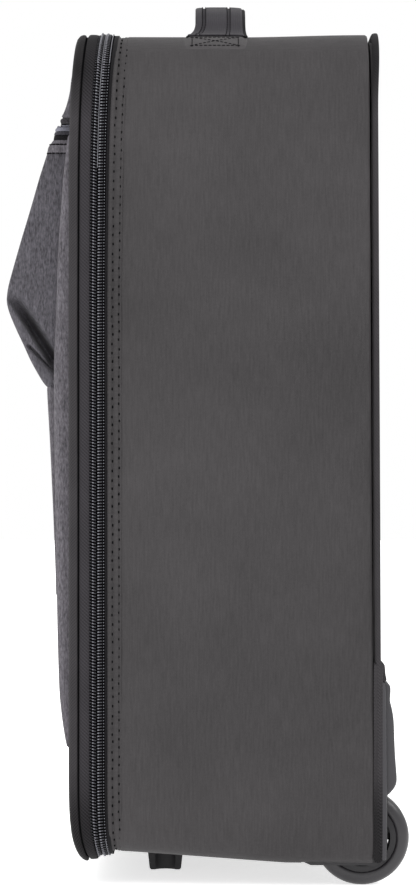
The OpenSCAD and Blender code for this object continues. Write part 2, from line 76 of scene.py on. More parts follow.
def area_light(name, spot, size, power):
    data = bpy.data.lights.new(name, "AREA")
    data.shape = "RECTANGLE"
    data.size, data.size_y = size
    data.energy = power
    light = bpy.data.objects.new(name, data)
    light.location = spot
    light.rotation_euler = (AIM - Vector(spot)).to_track_quat("-Z", "Y").to_euler()
    scene.collection.objects.link(light)


def make_stage():
    scene.view_settings.view_transform = "Standard"
    world = bpy.data.worlds.new("studio")
    world.use_nodes = True
    sky = world.node_tree.nodes["Background"]
    sky.inputs["Color"].default_value = (1, 1, 1, 1)
    sky.inputs["Strength"].default_value = 1.0
    scene.world = world
    area_light("key", (2.3, -0.7, 2.3), (1.6, 1.2), 23)
    area_light("rim", (0.55, 2.1, 1.9), (0.9, 0.9), 20)
    bpy.ops.mesh.primitive_plane_add(size=16)
    floor = bpy.context.object
    floor.name = "floor"
    material, _, shader = new_material("floor_white", (0.9, 0.9, 0.9), 0.9)
    shader.inputs["Emission Color"].default_value = (1, 1, 1, 1)
    shader.inputs["Emission Strength"].default_value = FLOOR_GLOW
    floor.data.materials.append(material)


# ---- materials ----


def linear(r, g, b):
    """A colour given in 8-bit display values, as linear light."""
    return tuple(((c / 255 + 0.055) / 1.055) ** 2.4 for c in (r, g, b))


def new_material(name, colour, roughness, **sockets):
    material = bpy.data.materials.new(name)
    material.use_nodes = True
    tree = material.node_tree
    shader = tree.nodes["Principled BSDF"]
    shader.inputs["Base Color"].default_value = (*colour, 1)
    shader.inputs["Roughness"].default_value = roughness
    for socket, value in sockets.items():
        shader.inputs[socket.replace("_", " ")].default_value = value
    return material, tree, shader


def calc(tree, operation, *values):
    node = tree.nodes.new("ShaderNodeMath")
    node.operation = operation
    for socket, value in zip(node.inputs, values):
        if isinstance(value, (int, float)):
            socket.default_value = value
        else:
            tree.links.new(value, socket)
    return node.outputs[0]


def weave_axes(tree):
    """The two distances along the fabric, in millimetres."""
    uv = tree.nodes.new("ShaderNodeUVMap")
    uv.uv_map = "weave"
    split = tree.nodes.new("ShaderNodeSeparateXYZ")
    tree.links.new(uv.outputs["UV"], split.inputs[0])
    return split.outputs["X"], split.outputs["Y"]


def wave(tree, value, pitch):
    turned = calc(tree, "MULTIPLY", value, 2 * math.pi / pitch)
    return calc(tree, "SINE", turned)


def noise(tree, vector, scale, detail=2.0, rough=0.5):
    node = tree.nodes.new("ShaderNodeTexNoise")
    node.inputs["Scale"].default_value = scale
    node.inputs["Detail"].default_value = detail
    node.inputs["Roughness"].default_value = rough
    tree.links.new(vector, node.inputs["Vector"])
    return calc(tree, "SUBTRACT", node.outputs["Fac"], 0.5)


def object_space(tree):
    return tree.nodes.new("ShaderNodeTexCoord").outputs["Object"]


def stretched(tree, u, v, across, along):
    """A noise vector whose grain is across mm wide and along mm long."""
    join = tree.nodes.new("ShaderNodeCombineXYZ")
    tree.links.new(calc(tree, "DIVIDE", u, across), join.inputs[0])
    tree.links.new(calc(tree, "DIVIDE", v, along), join.inputs[1])
    return join.outputs[0]


def add_up(tree, terms):
    """Sum of (weight, value) pairs."""
    total = None
    for weight, value in terms:
        part = calc(tree, "MULTIPLY", value, weight)
        total = part if total is None else calc(tree, "ADD", total, part)
    return total


def shade(tree, shader, colour, variation, spread):
    """Varies a colour by a signed value, up to spread at plus or minus one."""
    mix = tree.nodes.new("ShaderNodeMix")
    mix.data_type = "RGBA"
    mix.clamp_factor = False
    factor = calc(tree, "MULTIPLY_ADD", variation, 0.5, 0.5)
    tree.links.new(factor, mix.inputs["Factor"])
    dark = [c * (1 - spread) for c in colour]
    light = [c * (1 + spread) for c in colour]
    mix.inputs["A"].default_value = (*dark, 1)
    mix.inputs["B"].default_value = (*light, 1)
    tree.links.new(mix.outputs["Result"], shader.inputs["Base Color"])


def bump(tree, shader, layers):
    """Chains bumps given as (height, depth in mm)."""
    normal = None
    for height, depth in layers:
        node = tree.nodes.new("ShaderNodeBump")
        node.inputs["Distance"].default_value = depth * MM
        tree.links.new(height, node.inputs["Height"])
        if normal is not None:
            tree.links.new(normal, node.inputs["Normal"])
        normal = node.outputs["Normal"]
    tree.links.new(normal, shader.inputs["Normal"])


def smooth_fabric(name, colour):
    """Fine coated polyester: a faint straight weave, soft mottling and creases."""
    material, tree, shader = new_material(
        name, colour, 0.6, Sheen_Weight=0.03, Sheen_Roughness=0.4, Specular_IOR_Level=0.16
    )
    u, v = weave_axes(tree)
    spots = object_space(tree)
    threads = calc(tree, "MULTIPLY", wave(tree, u, 0.7), wave(tree, v, 0.7))
    streaks = noise(tree, stretched(tree, u, v, 1.3, 14), 1.0, 3)
    mottling = noise(tree, spots, 14, 3, 0.55)
    patches = noise(tree, spots, 4.5, 1)
    grain = noise(tree, spots, 700, 1)
    tone = add_up(tree, [(0.3, threads), (1.8, streaks), (1.6, mottling), (1.8, patches),
                         (0.8, grain)])
    shade(tree, shader, colour, tone, 0.3)
    bump(tree, shader, [(mottling, 3.2), (streaks, 0.06), (threads, 0.02)])
    return material


def melange(name, colour, spread=0.46):
    """Two-tone woven cloth with short flecks along its length."""
    material, tree, shader = new_material(
        name, colour, 0.85, Sheen_Weight=0.05, Sheen_Roughness=0.5, Specular_IOR_Level=0.1
    )
    u, v = weave_axes(tree)
    threads = calc(tree, "MULTIPLY", wave(tree, u, 0.9), wave(tree, v, 0.9))
    flecks = noise(tree, stretched(tree, u, v, 1.0, 3.4), 1.0, 2, 0.6)
    dashes = noise(tree, stretched(tree, u, v, 2.4, 16), 1.0, 2)
    mottling = noise(tree, object_space(tree), 20, 2)
    tone = add_up(tree, [(0.3, threads), (4.8, flecks), (2.2, dashes), (0.8, mottling)])
    shade(tree, shader, colour, tone, spread)
    bump(tree, shader, [(mottling, 1.0), (flecks, 0.15), (threads, 0.07)])
    return material


MID_Z = 0.285   # metres, halfway up the case
# The twills' painted corner shade starts this far from MID_Z and grows at the steepness below.
CORNER_SHADE_FROM = 0.208   # metres above or below MID_Z where the corners begin
CORNER_SHADE_STEEP = 32


def twill(name, colour, pitch, spread, turned=0.0):
    """Woven tape with diagonal ribs. turned paints shade on it near the top and bottom
    corners, where the ribs turn and their sheen looks darker.
    """
    material, tree, shader = new_material(
        name, colour, 0.8, Sheen_Weight=0.03, Specular_IOR_Level=0.12
    )
    u, v = weave_axes(tree)
    spots = object_space(tree)
    ribs = wave(tree, calc(tree, "ADD", u, v), pitch)
    cross = wave(tree, calc(tree, "SUBTRACT", u, v), pitch)
    cloud = noise(tree, spots, 60, 2)
    split = tree.nodes.new("ShaderNodeSeparateXYZ")
    tree.links.new(spots, split.inputs[0])
    away = calc(tree, "ABSOLUTE", calc(tree, "SUBTRACT", split.outputs["Z"], MID_Z))
    corner = calc(tree, "MULTIPLY", calc(tree, "SUBTRACT", away, CORNER_SHADE_FROM), CORNER_SHADE_STEEP)
    corner = calc(tree, "MINIMUM", calc(tree, "MAXIMUM", corner, 0), 1)
    # Painted shade: the tone drops by turned towards the top and bottom corners.
    tone = add_up(tree, [(0.75, ribs), (0.25, cross), (0.9, cloud),
                         (-turned / spread, corner)])
    shade(tree, shader, colour, tone, spread)
    bump(tree, shader, [(cloud, 0.4), (add_up(tree, [(0.6, ribs), (0.4, cross)]), 0.07)])
    return material


def webbing(name, colour):
    """Flat strap with ribs along its length and a fine cross thread."""
    material, tree, shader = new_material(
        name, colour, 0.7, Sheen_Weight=0.05, Specular_IOR_Level=0.15
    )
    u, v = weave_axes(tree)
    ribs = wave(tree, v, 1.5)
    threads = wave(tree, u, 0.8)
    cloud = noise(tree, object_space(tree), 90, 2)
    flecks = noise(tree, stretched(tree, u, v, 4, 0.7), 1.0, 2)
    tone = add_up(tree, [(0.3, ribs), (0.25, threads), (0.8, cloud), (1.6, flecks)])
    shade(tree, shader, colour, tone, 0.25)
    bump(tree, shader, [(cloud, 0.3), (add_up(tree, [(0.5, ribs), (0.3, threads)]), 0.08)])
    return material


def vary_roughness(tree, shader, value, roughness):
    varied = calc(tree, "MULTIPLY_ADD", value, 0.3, roughness)
    tree.links.new(varied, shader.inputs["Roughness"])


def moulded(name, colour, roughness, grain=0.03, shine=0.3):
    """Moulded plastic or rubber with a fine pebble and faint scuffs."""
    material, tree, shader = new_material(name, colour, roughness, Specular_IOR_Level=shine)
    spots = object_space(tree)
    pebble = noise(tree, spots, 900, 2)
    cloud = noise(tree, spots, 25, 3)
    tone = add_up(tree, [(0.6, pebble), (1.6, cloud)])
    shade(tree, shader, colour, tone, 0.08)
    scuffs = noise(tree, spots, 70, 4, 0.7)
    vary_roughness(tree, shader, scuffs, roughness)
    bump(tree, shader, [(pebble, grain)])
    return material


def metal(name, colour, roughness, streak=(400, 400, 6)):
    """Drawn or turned metal with fine lines along one direction."""
    material, tree, shader = new_material(name, colour, roughness, Metallic=1.0)
    scale = tree.nodes.new("ShaderNodeVectorMath")
    scale.operation = "MULTIPLY"
    scale.inputs[1].default_value = streak
    tree.links.new(object_space(tree), scale.inputs[0])
    lines = noise(tree, scale.outputs[0], 3, 3)
    shade(tree, shader, colour, lines, 0.2)
    vary_roughness(tree, shader, lines, roughness)
    bump(tree, shader, [(lines, 0.02)])
    return material


# ---- mesh tools ----


def smoothstep(a, b, x):
    t = np.clip((x - a) / (b - a), 0, 1)
    return t * t * (3 - 2 * t)


def distances(points):
    """How far along a line of points each one lies."""
    steps = np.linalg.norm(np.diff(points, axis=0), axis=1)
    return np.concatenate([[0], np.cumsum(steps)])


def units(vectors):
    return vectors / np.linalg.norm(vectors, axis=1)[:, None]


def pick(at, run, values):
    """Values read off a line at some distances along it."""
    return np.stack([np.interp(at, run, column) for column in values.T], 1)


def ripple(a, b, seed, count=9):
    """Smooth wandering value, about -1 to 1, over two distances."""
    rng = np.random.default_rng(seed)
    total = 0.0
    for _ in range(count):
        angle, wide = rng.uniform(0, 2 * math.pi), rng.uniform(0.6, 2.2)
        phase = rng.uniform(0, 2 * math.pi)
        run = a * math.cos(angle) + b * math.sin(angle)
        total = total + np.sin(wide * run + phase)
    return total / math.sqrt(count) / 1.4


def add_mesh(name, points, faces, uvs, material, sharp=50):
    """A new object from points in mm. uvs holds one (u, v) for each corner of each face."""
    mesh = bpy.data.meshes.new(name)
    mesh.from_pydata((np.asarray(points) * MM).tolist(), [], faces)
    layer = mesh.uv_layers.new(name="weave")
    layer.data.foreach_set("uv", np.asarray(uvs, np.float32).ravel())
    mesh.update()
    piece = bpy.data.objects.new(name, mesh)
    scene.collection.objects.link(piece)
    mesh.materials.append(material)
    tidy_normals(piece, sharp)
    return piece


def tidy_normals(piece, sharp=50):
    """Turns every face outwards and shades smooth up to the sharp angle."""
    made = bmesh.new()
    made.from_mesh(piece.data)
    bmesh.ops.recalc_face_normals(made, faces=made.faces)
    made.to_mesh(piece.data)
    made.free()
    piece.data.polygons.foreach_set("use_smooth", [True] * len(piece.data.polygons))
    piece.data.set_sharp_from_angle(angle=math.radians(sharp))


def grid(name, points, uv, material, wrap_rows=False, wrap_cols=False, caps=False,
         sharp=50):
    """A surface through points[row][column], closed the ways that are asked for."""
    rows, cols = points.shape[:2]
    faces, corners = [], []
    for r in range(rows - 1 + wrap_rows):
        for c in range(cols - 1 + wrap_cols):
            quad = [(r, c), (r, c + 1), (r + 1, c + 1), (r + 1, c)]
            faces.append([(i % rows) * cols + j % cols for i, j in quad])
            corners += [uv[i][j] for i, j in quad]
    if caps:
        for r in (0, rows - 1):
            faces.append([r * cols + c for c in range(cols)])
            corners += [uv[r][c] for c in range(cols)]
    piece = add_mesh(name, points.reshape(-1, 3), faces, corners, material, sharp)
    if caps:
        for face in list(piece.data.polygons)[-2:]:
            face.use_smooth = False
    return piece


def swept(name, points, along, across, material, sharp=50):
    """A closed bar through rings of points, with the weave laid by two distances."""
    uv = np.zeros((points.shape[0], points.shape[1] + 1, 2))
    uv[..., 0] = along
    uv[..., 1] = across
    return grid(name, points, uv, material, False, True, True, sharp)


def bake(piece):
    """Applies a piece's modifiers."""
    bpy.context.view_layer.update()
    shown = piece.evaluated_get(bpy.context.evaluated_depsgraph_get())
    mesh = bpy.data.meshes.new_from_object(shown)
    piece.modifiers.clear()
    piece.data = mesh


def thicken(piece, thickness):
    """Gives a sheet a thickness inwards, with closed edges."""
    modifier = piece.modifiers.new("thickness", "SOLIDIFY")
    modifier.thickness = thickness * MM
    modifier.offset = -1
    bake(piece)
    tidy_normals(piece)


def cut_away(piece, boxes):
    """Takes boxes, each (low, high) in mm, out of a closed piece."""
    tools = []
    for low, high in boxes:
        low, high = np.array(low) * MM, np.array(high) * MM
        bpy.ops.mesh.primitive_cube_add(size=1, location=(low + high) / 2)
        tool = bpy.context.object
        tool.scale = high - low
        modifier = piece.modifiers.new("cut", "BOOLEAN")
        modifier.operation = "DIFFERENCE"
        modifier.solver = "EXACT"
        modifier.object = tool
        tools.append(tool)
    bake(piece)
    for tool in tools:
        bpy.data.objects.remove(tool)
    tidy_normals(piece, 35)


SIDES = ((1, 2), (0, 2), (0, 1))  # the two axes a face lies along, by its normal's axis


def lay_straight(piece):
    """Lays the weave straight up every face, with its breaks at the corners."""
    mesh = piece.data
    layer = mesh.uv_layers["weave"].data
    for face in mesh.polygons:
        normal = [abs(part) for part in face.normal]
        a, b = SIDES[normal.index(max(normal))]
        for loop in face.loop_indices:
            spot = mesh.vertices[mesh.loops[loop].vertex_index].co
            layer[loop].uv = (spot[a] / MM, spot[b] / MM)


def place(piece, body, slot, replaces=()):
    """Rides a piece on a body and hides what it stands for."""
    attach(piece, body)
    if replaces:
        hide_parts(*replaces)
    return piece


# ---- outlines and rings round the case ----

HALF_W = 175
TOP_Z = 552
SPANS = (30, 8, 26, 8, 62, 12, 26, 12, 30)  # points along each side and corner


class Outline:
    """Rounded rectangle in front view, from the middle of the far side down and round."""

    def __init__(self, half, z0, z1, top_r, base_r):
        points, normals = [], []

        def line(a, b, count, normal):
            for i in range(count):
                t = i / count
                points.append((a[0] + (b[0] - a[0]) * t, a[1] + (b[1] - a[1]) * t))
                normals.append(normal)

        def arc(cx, cz, r, start, count):
            for i in range(count):
                a = math.radians(start + 90 * i / count)
                normals.append((math.cos(a), math.sin(a)))
                points.append((cx + r * math.cos(a), cz + r * math.sin(a)))

        mid = (z0 + z1) / 2
        line((-half, mid), (-half, z0 + base_r), SPANS[0], (-1, 0))
        arc(base_r - half, z0 + base_r, base_r, 180, SPANS[1])
        line((base_r - half, z0), (half - base_r, z0), SPANS[2], (0, -1))
        arc(half - base_r, z0 + base_r, base_r, 270, SPANS[3])
        line((half, z0 + base_r), (half, z1 - top_r), SPANS[4], (1, 0))
        arc(half - top_r, z1 - top_r, top_r, 0, SPANS[5])
        line((half - top_r, z1), (top_r - half, z1), SPANS[6], (0, 1))
        arc(top_r - half, z1 - top_r, top_r, 90, SPANS[7])
        line((-half, z1 - top_r), (-half, mid), SPANS[8], (-1, 0))
        self.points = np.array(points)
        self.normals = np.array(normals, float)
        self.along = distances(np.vstack([self.points, self.points[:1]]))

    def at(self, along):
        """Points and normals at distances along the outline."""
        spots, normals = (pick(along, self.along, np.vstack([values, values[:1]]))
                          for values in (self.points, self.normals))
        return spots, units(normals)

    def rows_between(self, z_low, z_high):
        """Index range of the points clear of the hinge on the far side."""
        x, z = self.points[:, 0], self.points[:, 1]
        clear = (x > -HALF_W + 3) | (z < z_low) | (z > z_high)
        found = np.nonzero(clear)[0]
        return found[0], found[-1]


SHELL_Y = -58   # front edge of the shell's walls
SHELL_DEPTH = 162
BASE_LEVEL = 15.2


def base_z(y):
    """Height of the base, which falls towards the wheels and levels off beside them."""
    return max(22 - 10.4 * (y - SHELL_Y) / SHELL_DEPTH, BASE_LEVEL)


def lean_back(y, z):
    """The front leans back near the top, its rear seams furthest, and tucks in at the base."""
    rise = np.clip((z - 440) / 112, 0, None) ** 2.6
    spread = np.clip((z - 380) / 172, 0, None) ** 1.2
    rear = np.clip((y + 89.5) / 32, 0, 1)
    tuck = 8.4 * np.clip((90 - z) / 75, 0, None) ** 5
    lean = 4.6 * rise * (1 - 0.2 * rear) + 2.6 * spread * rear + tuck * (1 - 0.68 * rear)
    return lean * np.clip((40 - y) / 97, 0, 1)


DOOR_LINE = Outline(HALF_W, 16.6, 551, 45, 20)
PIPING_LINE = Outline(HALF_W, 15.5, 551, 45, 20)
ZIP_LINE = Outline(HALF_W, 18.9, TOP_Z - 0.6, 45, 20)
STRIP_LINE = Outline(HALF_W - 0.4, 22.4, 549.0, 44.4, 20)
BACK_LINE = Outline(HALF_W, 15.0, TOP_Z, 45, 9)
HINGE_Z = (70, 492)


def ring(name, stations, material, span=None, sharp=50):
    """Sweeps a closed profile of (outline, y, outward) stations round the case."""
    columns = []
    for line, y, out in stations:
        x = line.points[:, 0] + out * line.normals[:, 0]
        z = line.points[:, 1] + out * line.normals[:, 1]
        columns.append(np.stack([x, y + lean_back(y, z), z], 1))
    points = np.stack(columns, 1)
    across = np.linalg.norm(np.diff(points, axis=1), axis=2).mean(0)
    across = np.concatenate([[0], np.cumsum(across)])
    across = np.append(across, across[-1] + across[1:2].sum())
    along = stations[0][0].along
    uv = np.stack(np.meshgrid(along, across, indexing="ij"), 2)
    if span is None:
        return grid(name, points, uv, material, True, True, sharp=sharp)
    first, last = span
    rows = slice(first, last + 1)
    return grid(name, points[rows], uv[rows], material, False, True, True, sharp)


def flat_ring(name, line, profile, material, span=None, wobble=0.0, seed=1):
    """A ring whose stations share one outline; wobble moves its surface in and out."""
    n = len(line.points)
    along = line.along[:n]
    stations = []
    for y, out in profile:
        wander = wobble * ripple(along / 28, y / 9 + 0 * along, seed)
        stations.append((line, y + 0.3 * wander, out + wander))
    return ring(name, stations, material, span)


# ---- rows of small pieces: zip teeth and stitches ----


def repeat(name, shape, frames, material):
    """Copies a shape, its points in (along, across, up) mm, to every frame and joins them."""
    origin, along, across, up = frames
    template, faces = np.asarray(shape[0], float), shape[1]
    count, n = len(origin), len(template)
    points = (
        origin[:, None, :]
        + template[None, :, 0:1] * along[:, None, :]
        + template[None, :, 1:2] * across[:, None, :]
        + template[None, :, 2:3] * up[:, None, :]
    ).reshape(-1, 3)
    all_faces, uv = [], []
    for i in range(count):
        for face in faces:
            all_faces.append([i * n + k for k in face])
            uv += [(template[k][0] + i * 2, template[k][1]) for k in face]
    return add_mesh(name, points, all_faces, uv, material, 60)


def ring_faces(rings, sides):
    """Faces of a closed bar whose points are rings of sides points each."""
    faces = []
    for s in range(rings - 1):
        for k in range(sides):
            a, b = s * sides + k, s * sides + (k + 1) % sides
            faces.append([a, b, b + sides, a + sides])
    faces.append(list(range(sides)))
    faces.append(list(range((rings - 1) * sides, rings * sides)))
    return faces


def bar_template(stations, sides=6):
    """A bar along its second axis from (along, across, up, half width, half height)."""
    points = []
    for along, across, up, wide, high in stations:
        for k in range(sides):
            a = 2 * math.pi * (k + 0.5) / sides
            points.append((along + wide * math.cos(a), across, up + high * math.sin(a)))
    return points, ring_faces(len(stations), sides)


# One loop of a coil: its raised part and its low parts, each a closed bar of
# (across, up, half width, half height) stations, measured from the middle of the chain.
# The low parts take a darker copy of the coil colour: painted shade.
DOOR_TOOTH = {
    "coil": [
        [(3.0, 0.6, 0.28, 0.24), (2.7, 1.3, 0.46, 0.48), (2.0, 1.3, 0.46, 0.48),
         (1.7, 0.7, 0.28, 0.28)],
    ],
    "coil_low": [
        [(4.6, -0.1, 0.15, 0.1), (4.4, 0.1, 0.26, 0.18), (3.8, 0.1, 0.26, 0.18),
         (3.4, -0.1, 0.15, 0.1)],
        [(1.9, 0.5, 0.26, 0.26), (1.4, 0.7, 0.34, 0.3), (0.7, 0.5, 0.32, 0.28),
         (0.2, 0.1, 0.2, 0.2)],
    ],
}
SHELL_TOOTH = {
    "coil": [
        [(2.0, 0.4, 0.24, 0.22), (1.8, 1.0, 0.38, 0.4), (0.9, 1.1, 0.42, 0.42),
         (0.5, 0.8, 0.3, 0.3)],
        [(4.9, 0.3, 0.2, 0.15), (4.75, 0.6, 0.34, 0.3), (4.45, 0.6, 0.34, 0.3),
         (4.3, 0.3, 0.2, 0.15)],
    ],
    "coil_low": [
        [(3.7, 0.1, 0.16, 0.12), (3.4, 0.4, 0.32, 0.24), (2.4, 0.6, 0.34, 0.3),
         (1.9, 0.5, 0.2, 0.15)],
    ],
}


def tooth(bars, slant=0.0):
    """A coil's loop, turned in plan by slant mm along for each mm across."""
    return joined([bar_template([(slant * a, a, up, w, h) for a, up, w, h in stations])
                   for stations in bars])


def joined(shapes):
    """One list of points and faces from several."""
    points, faces = [], []
    for more, loops in shapes:
        faces += [[k + len(points) for k in loop] for loop in loops]
        points += more
    return points, faces


def stitch(length, radius, sink=0.0):
    half = length / 2
    points, faces = bar_template([
        (0, -half, -sink - radius * 0.6, radius * 0.4, radius * 0.4),
        (0, -half * 0.7, -sink, radius, radius),
        (0, half * 0.7, -sink, radius, radius),
        (0, half, -sink - radius * 0.6, radius * 0.4, radius * 0.4),
    ], 5)
    return [(a, b, c) for b, a, c in points], faces


def outline_frames(line, y, out, pitch, offset=0.0, span=None, side=1):
    """Frames along an outline at depth y, with across pointing towards side times +Y."""
    start, end = 0, line.along[-1]
    if span is not None:
        start, end = line.along[span[0]] + 1, line.along[span[1]] - 1
    along = np.arange(start + offset, end, pitch)
    spots, normals = line.at(along)
    up = np.stack([normals[:, 0], 0 * along, normals[:, 1]], 1)
    forward = np.stack([-normals[:, 1], 0 * along, normals[:, 0]], 1)
    across = np.tile([0.0, side, 0.0], (len(along), 1))
    x = spots[:, 0] + out * normals[:, 0]
    z = spots[:, 1] + out * normals[:, 1]
    depth = y + lean_back(y, z)
    return np.stack([x, depth, z], 1), forward, across, up


def line_frames(points, up, pitch):
    """Frames along a polyline, with across level with the surface whose normals are up."""
    run = distances(points)
    at = np.arange(0, run[-1], pitch)
    forward = units(pick(at + 0.4, run, points) - pick(at - 0.4, run, points))
    normal = pick(at, run, up)
    normal = units(normal - (normal * forward).sum(1)[:, None] * forward)
    return pick(at, run, points), forward, np.cross(normal, forward), normal


# ---- the shell ----


def shell_out(y, line):
    """How far the wall fabric stands out: a soft crown, creases and seam puckers."""
    along, top = line.along[:-1], np.clip(line.normals[:, 1], 0, 1) ** 2
    base = np.clip(-line.normals[:, 1], 0, 1) ** 2
    t = np.clip((y + 58) / 163, 0, 1)
    crown = 1.3 * math.sin(math.pi * t) ** 0.7 * (1 - base)
    crown = crown + top * (0.1 + 1.6 * smoothstep(20, 100, y) - crown)
    front_pull = math.exp(-(y + 57) / 9) if y > -57 else 1
    back_pull = math.exp(-(104 - y) / 10) if y < 104 else 1
    waves = 0.5 * (1 - 0.6 * (top + base)) * ripple(along / 60, y / 60 + 0 * along, 3)
    puckers = (1 - 0.5 * top) * ripple(along / 11, y / 40 + 0 * along, 5, 12)
    return crown + waves + (0.4 * front_pull + 0.5 * back_pull) * puckers


def back_edge(z, top, base):
    """Depth of an edge near the back, which leans out towards the base."""
    return base + (top - base) * np.clip(z / TOP_Z, 0, 1)


def shell_line(y):
    t = (y - SHELL_Y) / SHELL_DEPTH
    return Outline(HALF_W - 1, base_z(y), TOP_Z - 2.6, 43.6, 19 - 10 * t)


SHELL_EDGES = (-58.4, 103.6)   # depths of the walls' rounded edges
WALL = 5.0   # thickness of the padded walls
WHEEL_WELLS = [((s * 150.1 - 17.1, 60, -1), (s * 150.1 + 17.1, 125, 74)) for s in (1, -1)]
CUP_ROOM = ((-86.3, 65.6, 515), (86.3, 108, 560))


def shell_station(y, out):
    """One ring of the walls, leaning back with the rear edge."""
    line = shell_line(y)
    lean = back_edge(line.points[:, 1], 103.6, 106.6) - 104
    return line, y + (y - SHELL_EDGES[0]) / SHELL_DEPTH * lean, out


def make_shell(materials):
    first, last = SHELL_EDGES
    stations = []
    for y in [first, -57.6, *np.linspace(-55, 96, 20), 100, 102.5, last]:
        edge = 0.8 if y in SHELL_EDGES else 0.0
        stations.append(shell_station(y, shell_out(y, shell_line(y)) - edge))
    for y in (103, 60, 0, -58):
        stations.append(shell_station(y, -WALL))
    walls = ring("shell_fabric", stations, materials["side"], sharp=45)
    cut_away(walls, WHEEL_WELLS + [CUP_ROOM])
    lay_straight(walls)
    place(walls, "case", "side_polyester",
          ("side_wall_right", "side_wall_left", "top_wall", "base_wall"))


def make_seam_strip(materials):
    profile = [
        (-64.3, -1.6), (-64.4, 0.1), (-64.1, 0.8), (-63.5, 1.1), (-62.8, 0.75),
        (-62.0, 0.1), (-61.2, -0.25), (-60.5, -0.05), (-59.8, 0.45), (-58.7, 0.65),
        (-57.7, 0.3), (-57.0, -0.05), (-56.5, 0.25), (-56.0, 0.4), (-55.6, 0.2),
        (-55.5, -0.6), (-57.5, -1.7), (-61, -1.9),
    ]
    strip = flat_ring("seam_fold", STRIP_LINE, profile, materials["strip"], None, 0.14, 8)
    place(strip, "case", "side_polyester", ("seam_strip",))
    pitch = 5.8
    for k, (y, out) in enumerate(((-61.2, -0.1), (-57.0, 0.05))):
        start = 2.0 + 2.3 * k
        threads = outline_frames(STRIP_LINE, y, out, pitch, start)
        piece = repeat(f"seam_thread_{k}", stitch(4.0, 0.33, 0.05), threads,
                       materials["strip"])
        place(piece, "case", "side_polyester")
        # The stitch holes are near-black pits: painted shade.
        holes = jitter(outline_frames(STRIP_LINE, y, out, pitch, start + 2.9), 0.35, 9 + k)
        piece = repeat(f"seam_hole_{k}", stitch(1.9, 0.6, 0.15), holes, materials["dark"])
        place(piece, "case", "side_polyester")


def jitter(frames, amount, seed):
    """Frames moved a little along and across, as hand-guided sewing is."""
    origin, along, across, up = frames
    rng = np.random.default_rng(seed)
    moves = rng.normal(0, amount, (2, len(origin), 1))
    return origin + moves[0] * along + 0.5 * moves[1] * across, along, across, up


ZIP_Y = -71.4


def make_main_zip(materials):
    span = ZIP_LINE.rows_between(*HINGE_Z)
    sides = (
        ("shell", "case", 1, -63.4, SHELL_TOOTH, 0.0, 0.05),
        ("door", "door", -1, -77.0, DOOR_TOOTH, 0.98, 0.26),
    )
    for name, body, side, edge, shapes, offset, slant in sides:
        near = ZIP_Y + 0.25 * side
        middle = (near + edge) / 2
        profile = [(near, -2.6), (near, -1.7), (ZIP_Y + 3.4 * side, -1.6),
                   (ZIP_Y + 5.2 * side, -0.9), (edge, -0.8), (edge, -1.8), (middle, -2.6)]
        tape = flat_ring(name + "_tape", ZIP_LINE, profile, materials["tape"], span)
        place(tape, body, "zip_tape", (name + "_zip_tape",))
        # Painted shade: a near-black strip under the chain, where the coils shade the tape.
        shade_core = [(near, -1.9), (near, -0.95), (ZIP_Y + 5.4 * side, -0.8),
                (ZIP_Y + 5.4 * side, -1.9)]
        shade_filler = flat_ring(name + "_cord", ZIP_LINE, shade_core, materials["dark"], span)
        place(shade_filler, body, "zip_tape")
        frames = outline_frames(ZIP_LINE, ZIP_Y, -0.75, 1.96, offset, span, side)
        for key, bars in shapes.items():
            teeth = repeat(f"{name}_{key}", tooth(bars, slant), frames, materials[key])
            place(teeth, body, "zip_coil", (name + "_zip_coil",))
    x, z = ZIP_LINE.points[:, 0], ZIP_LINE.points[:, 1]
    runs = (("top", z > 528, (-2.9, 4.5)), ("base", z < 32, (-2.9, 4.5)),
            ("middle", (z > 455) & (x > 0), (0.0,)))
    for name, chosen, bends in runs:
        rows = [k for k in np.nonzero(chosen)[0] if span[0] <= k <= span[1]]
        for k, across in enumerate(bends):
            y = ZIP_Y + across
            bend = [(y - 0.22, -0.3), (y - 0.12, 0.2), (y + 0.12, 0.2), (y + 0.22, -0.3)]
            line = flat_ring(f"chain_bend_{name}_{k}", ZIP_LINE, bend, materials["coil"],
                             (rows[0], rows[-1]))
            place(line, "door" if across < 0 else "case", "zip_coil")


def make_back(materials):
    line = BACK_LINE
    z = line.points[:, 1]
    arch = 1.6 * smoothstep(500, 548, z)
    front = back_edge(z, 105.0, 107.6) + 0.5 * arch
    back = back_edge(z, 108.8, 111.5) + arch
    shape = [(0.0, -3.2), (0.06, -1.4), (0.2, -0.35), (0.4, 0.1), (0.66, 0.25),
             (0.86, 0.15), (0.95, -0.15), (0.99, -0.7), (1.0, -1.6), (1.0, -6.6),
             (0.8, -7.2), (0.2, -7.2)]
    wobble = 0.16 * ripple(line.along[:-1] / 22, 0 * z, 11)
    stations = [(line, front + (back - front) * t, n + wobble) for t, n in shape]
    edge = ring("back_edge_binding", stations, materials["twill"])
    cut_away(edge, WHEEL_WELLS)
    place(edge, "case", "twill_binding", ("back_binding",))

    def surface(x, z):
        middle = (1 - (x / 170) ** 2) * (1 - ((z - 280) / 275) ** 2)
        return back_edge(z, 107.6, 109.2) + 0.9 * np.clip(middle, 0, 1) \
            + 0.25 * ripple(x / 50, z / 50, 13)

    panel = face_panel("back_fabric", 169.2, 17.5, 546, 39, 5, surface, 3.0,
                       materials["side"])
    cut_away(panel, WHEEL_WELLS)
    place(panel, "case", "side_polyester", ("back_panel",))


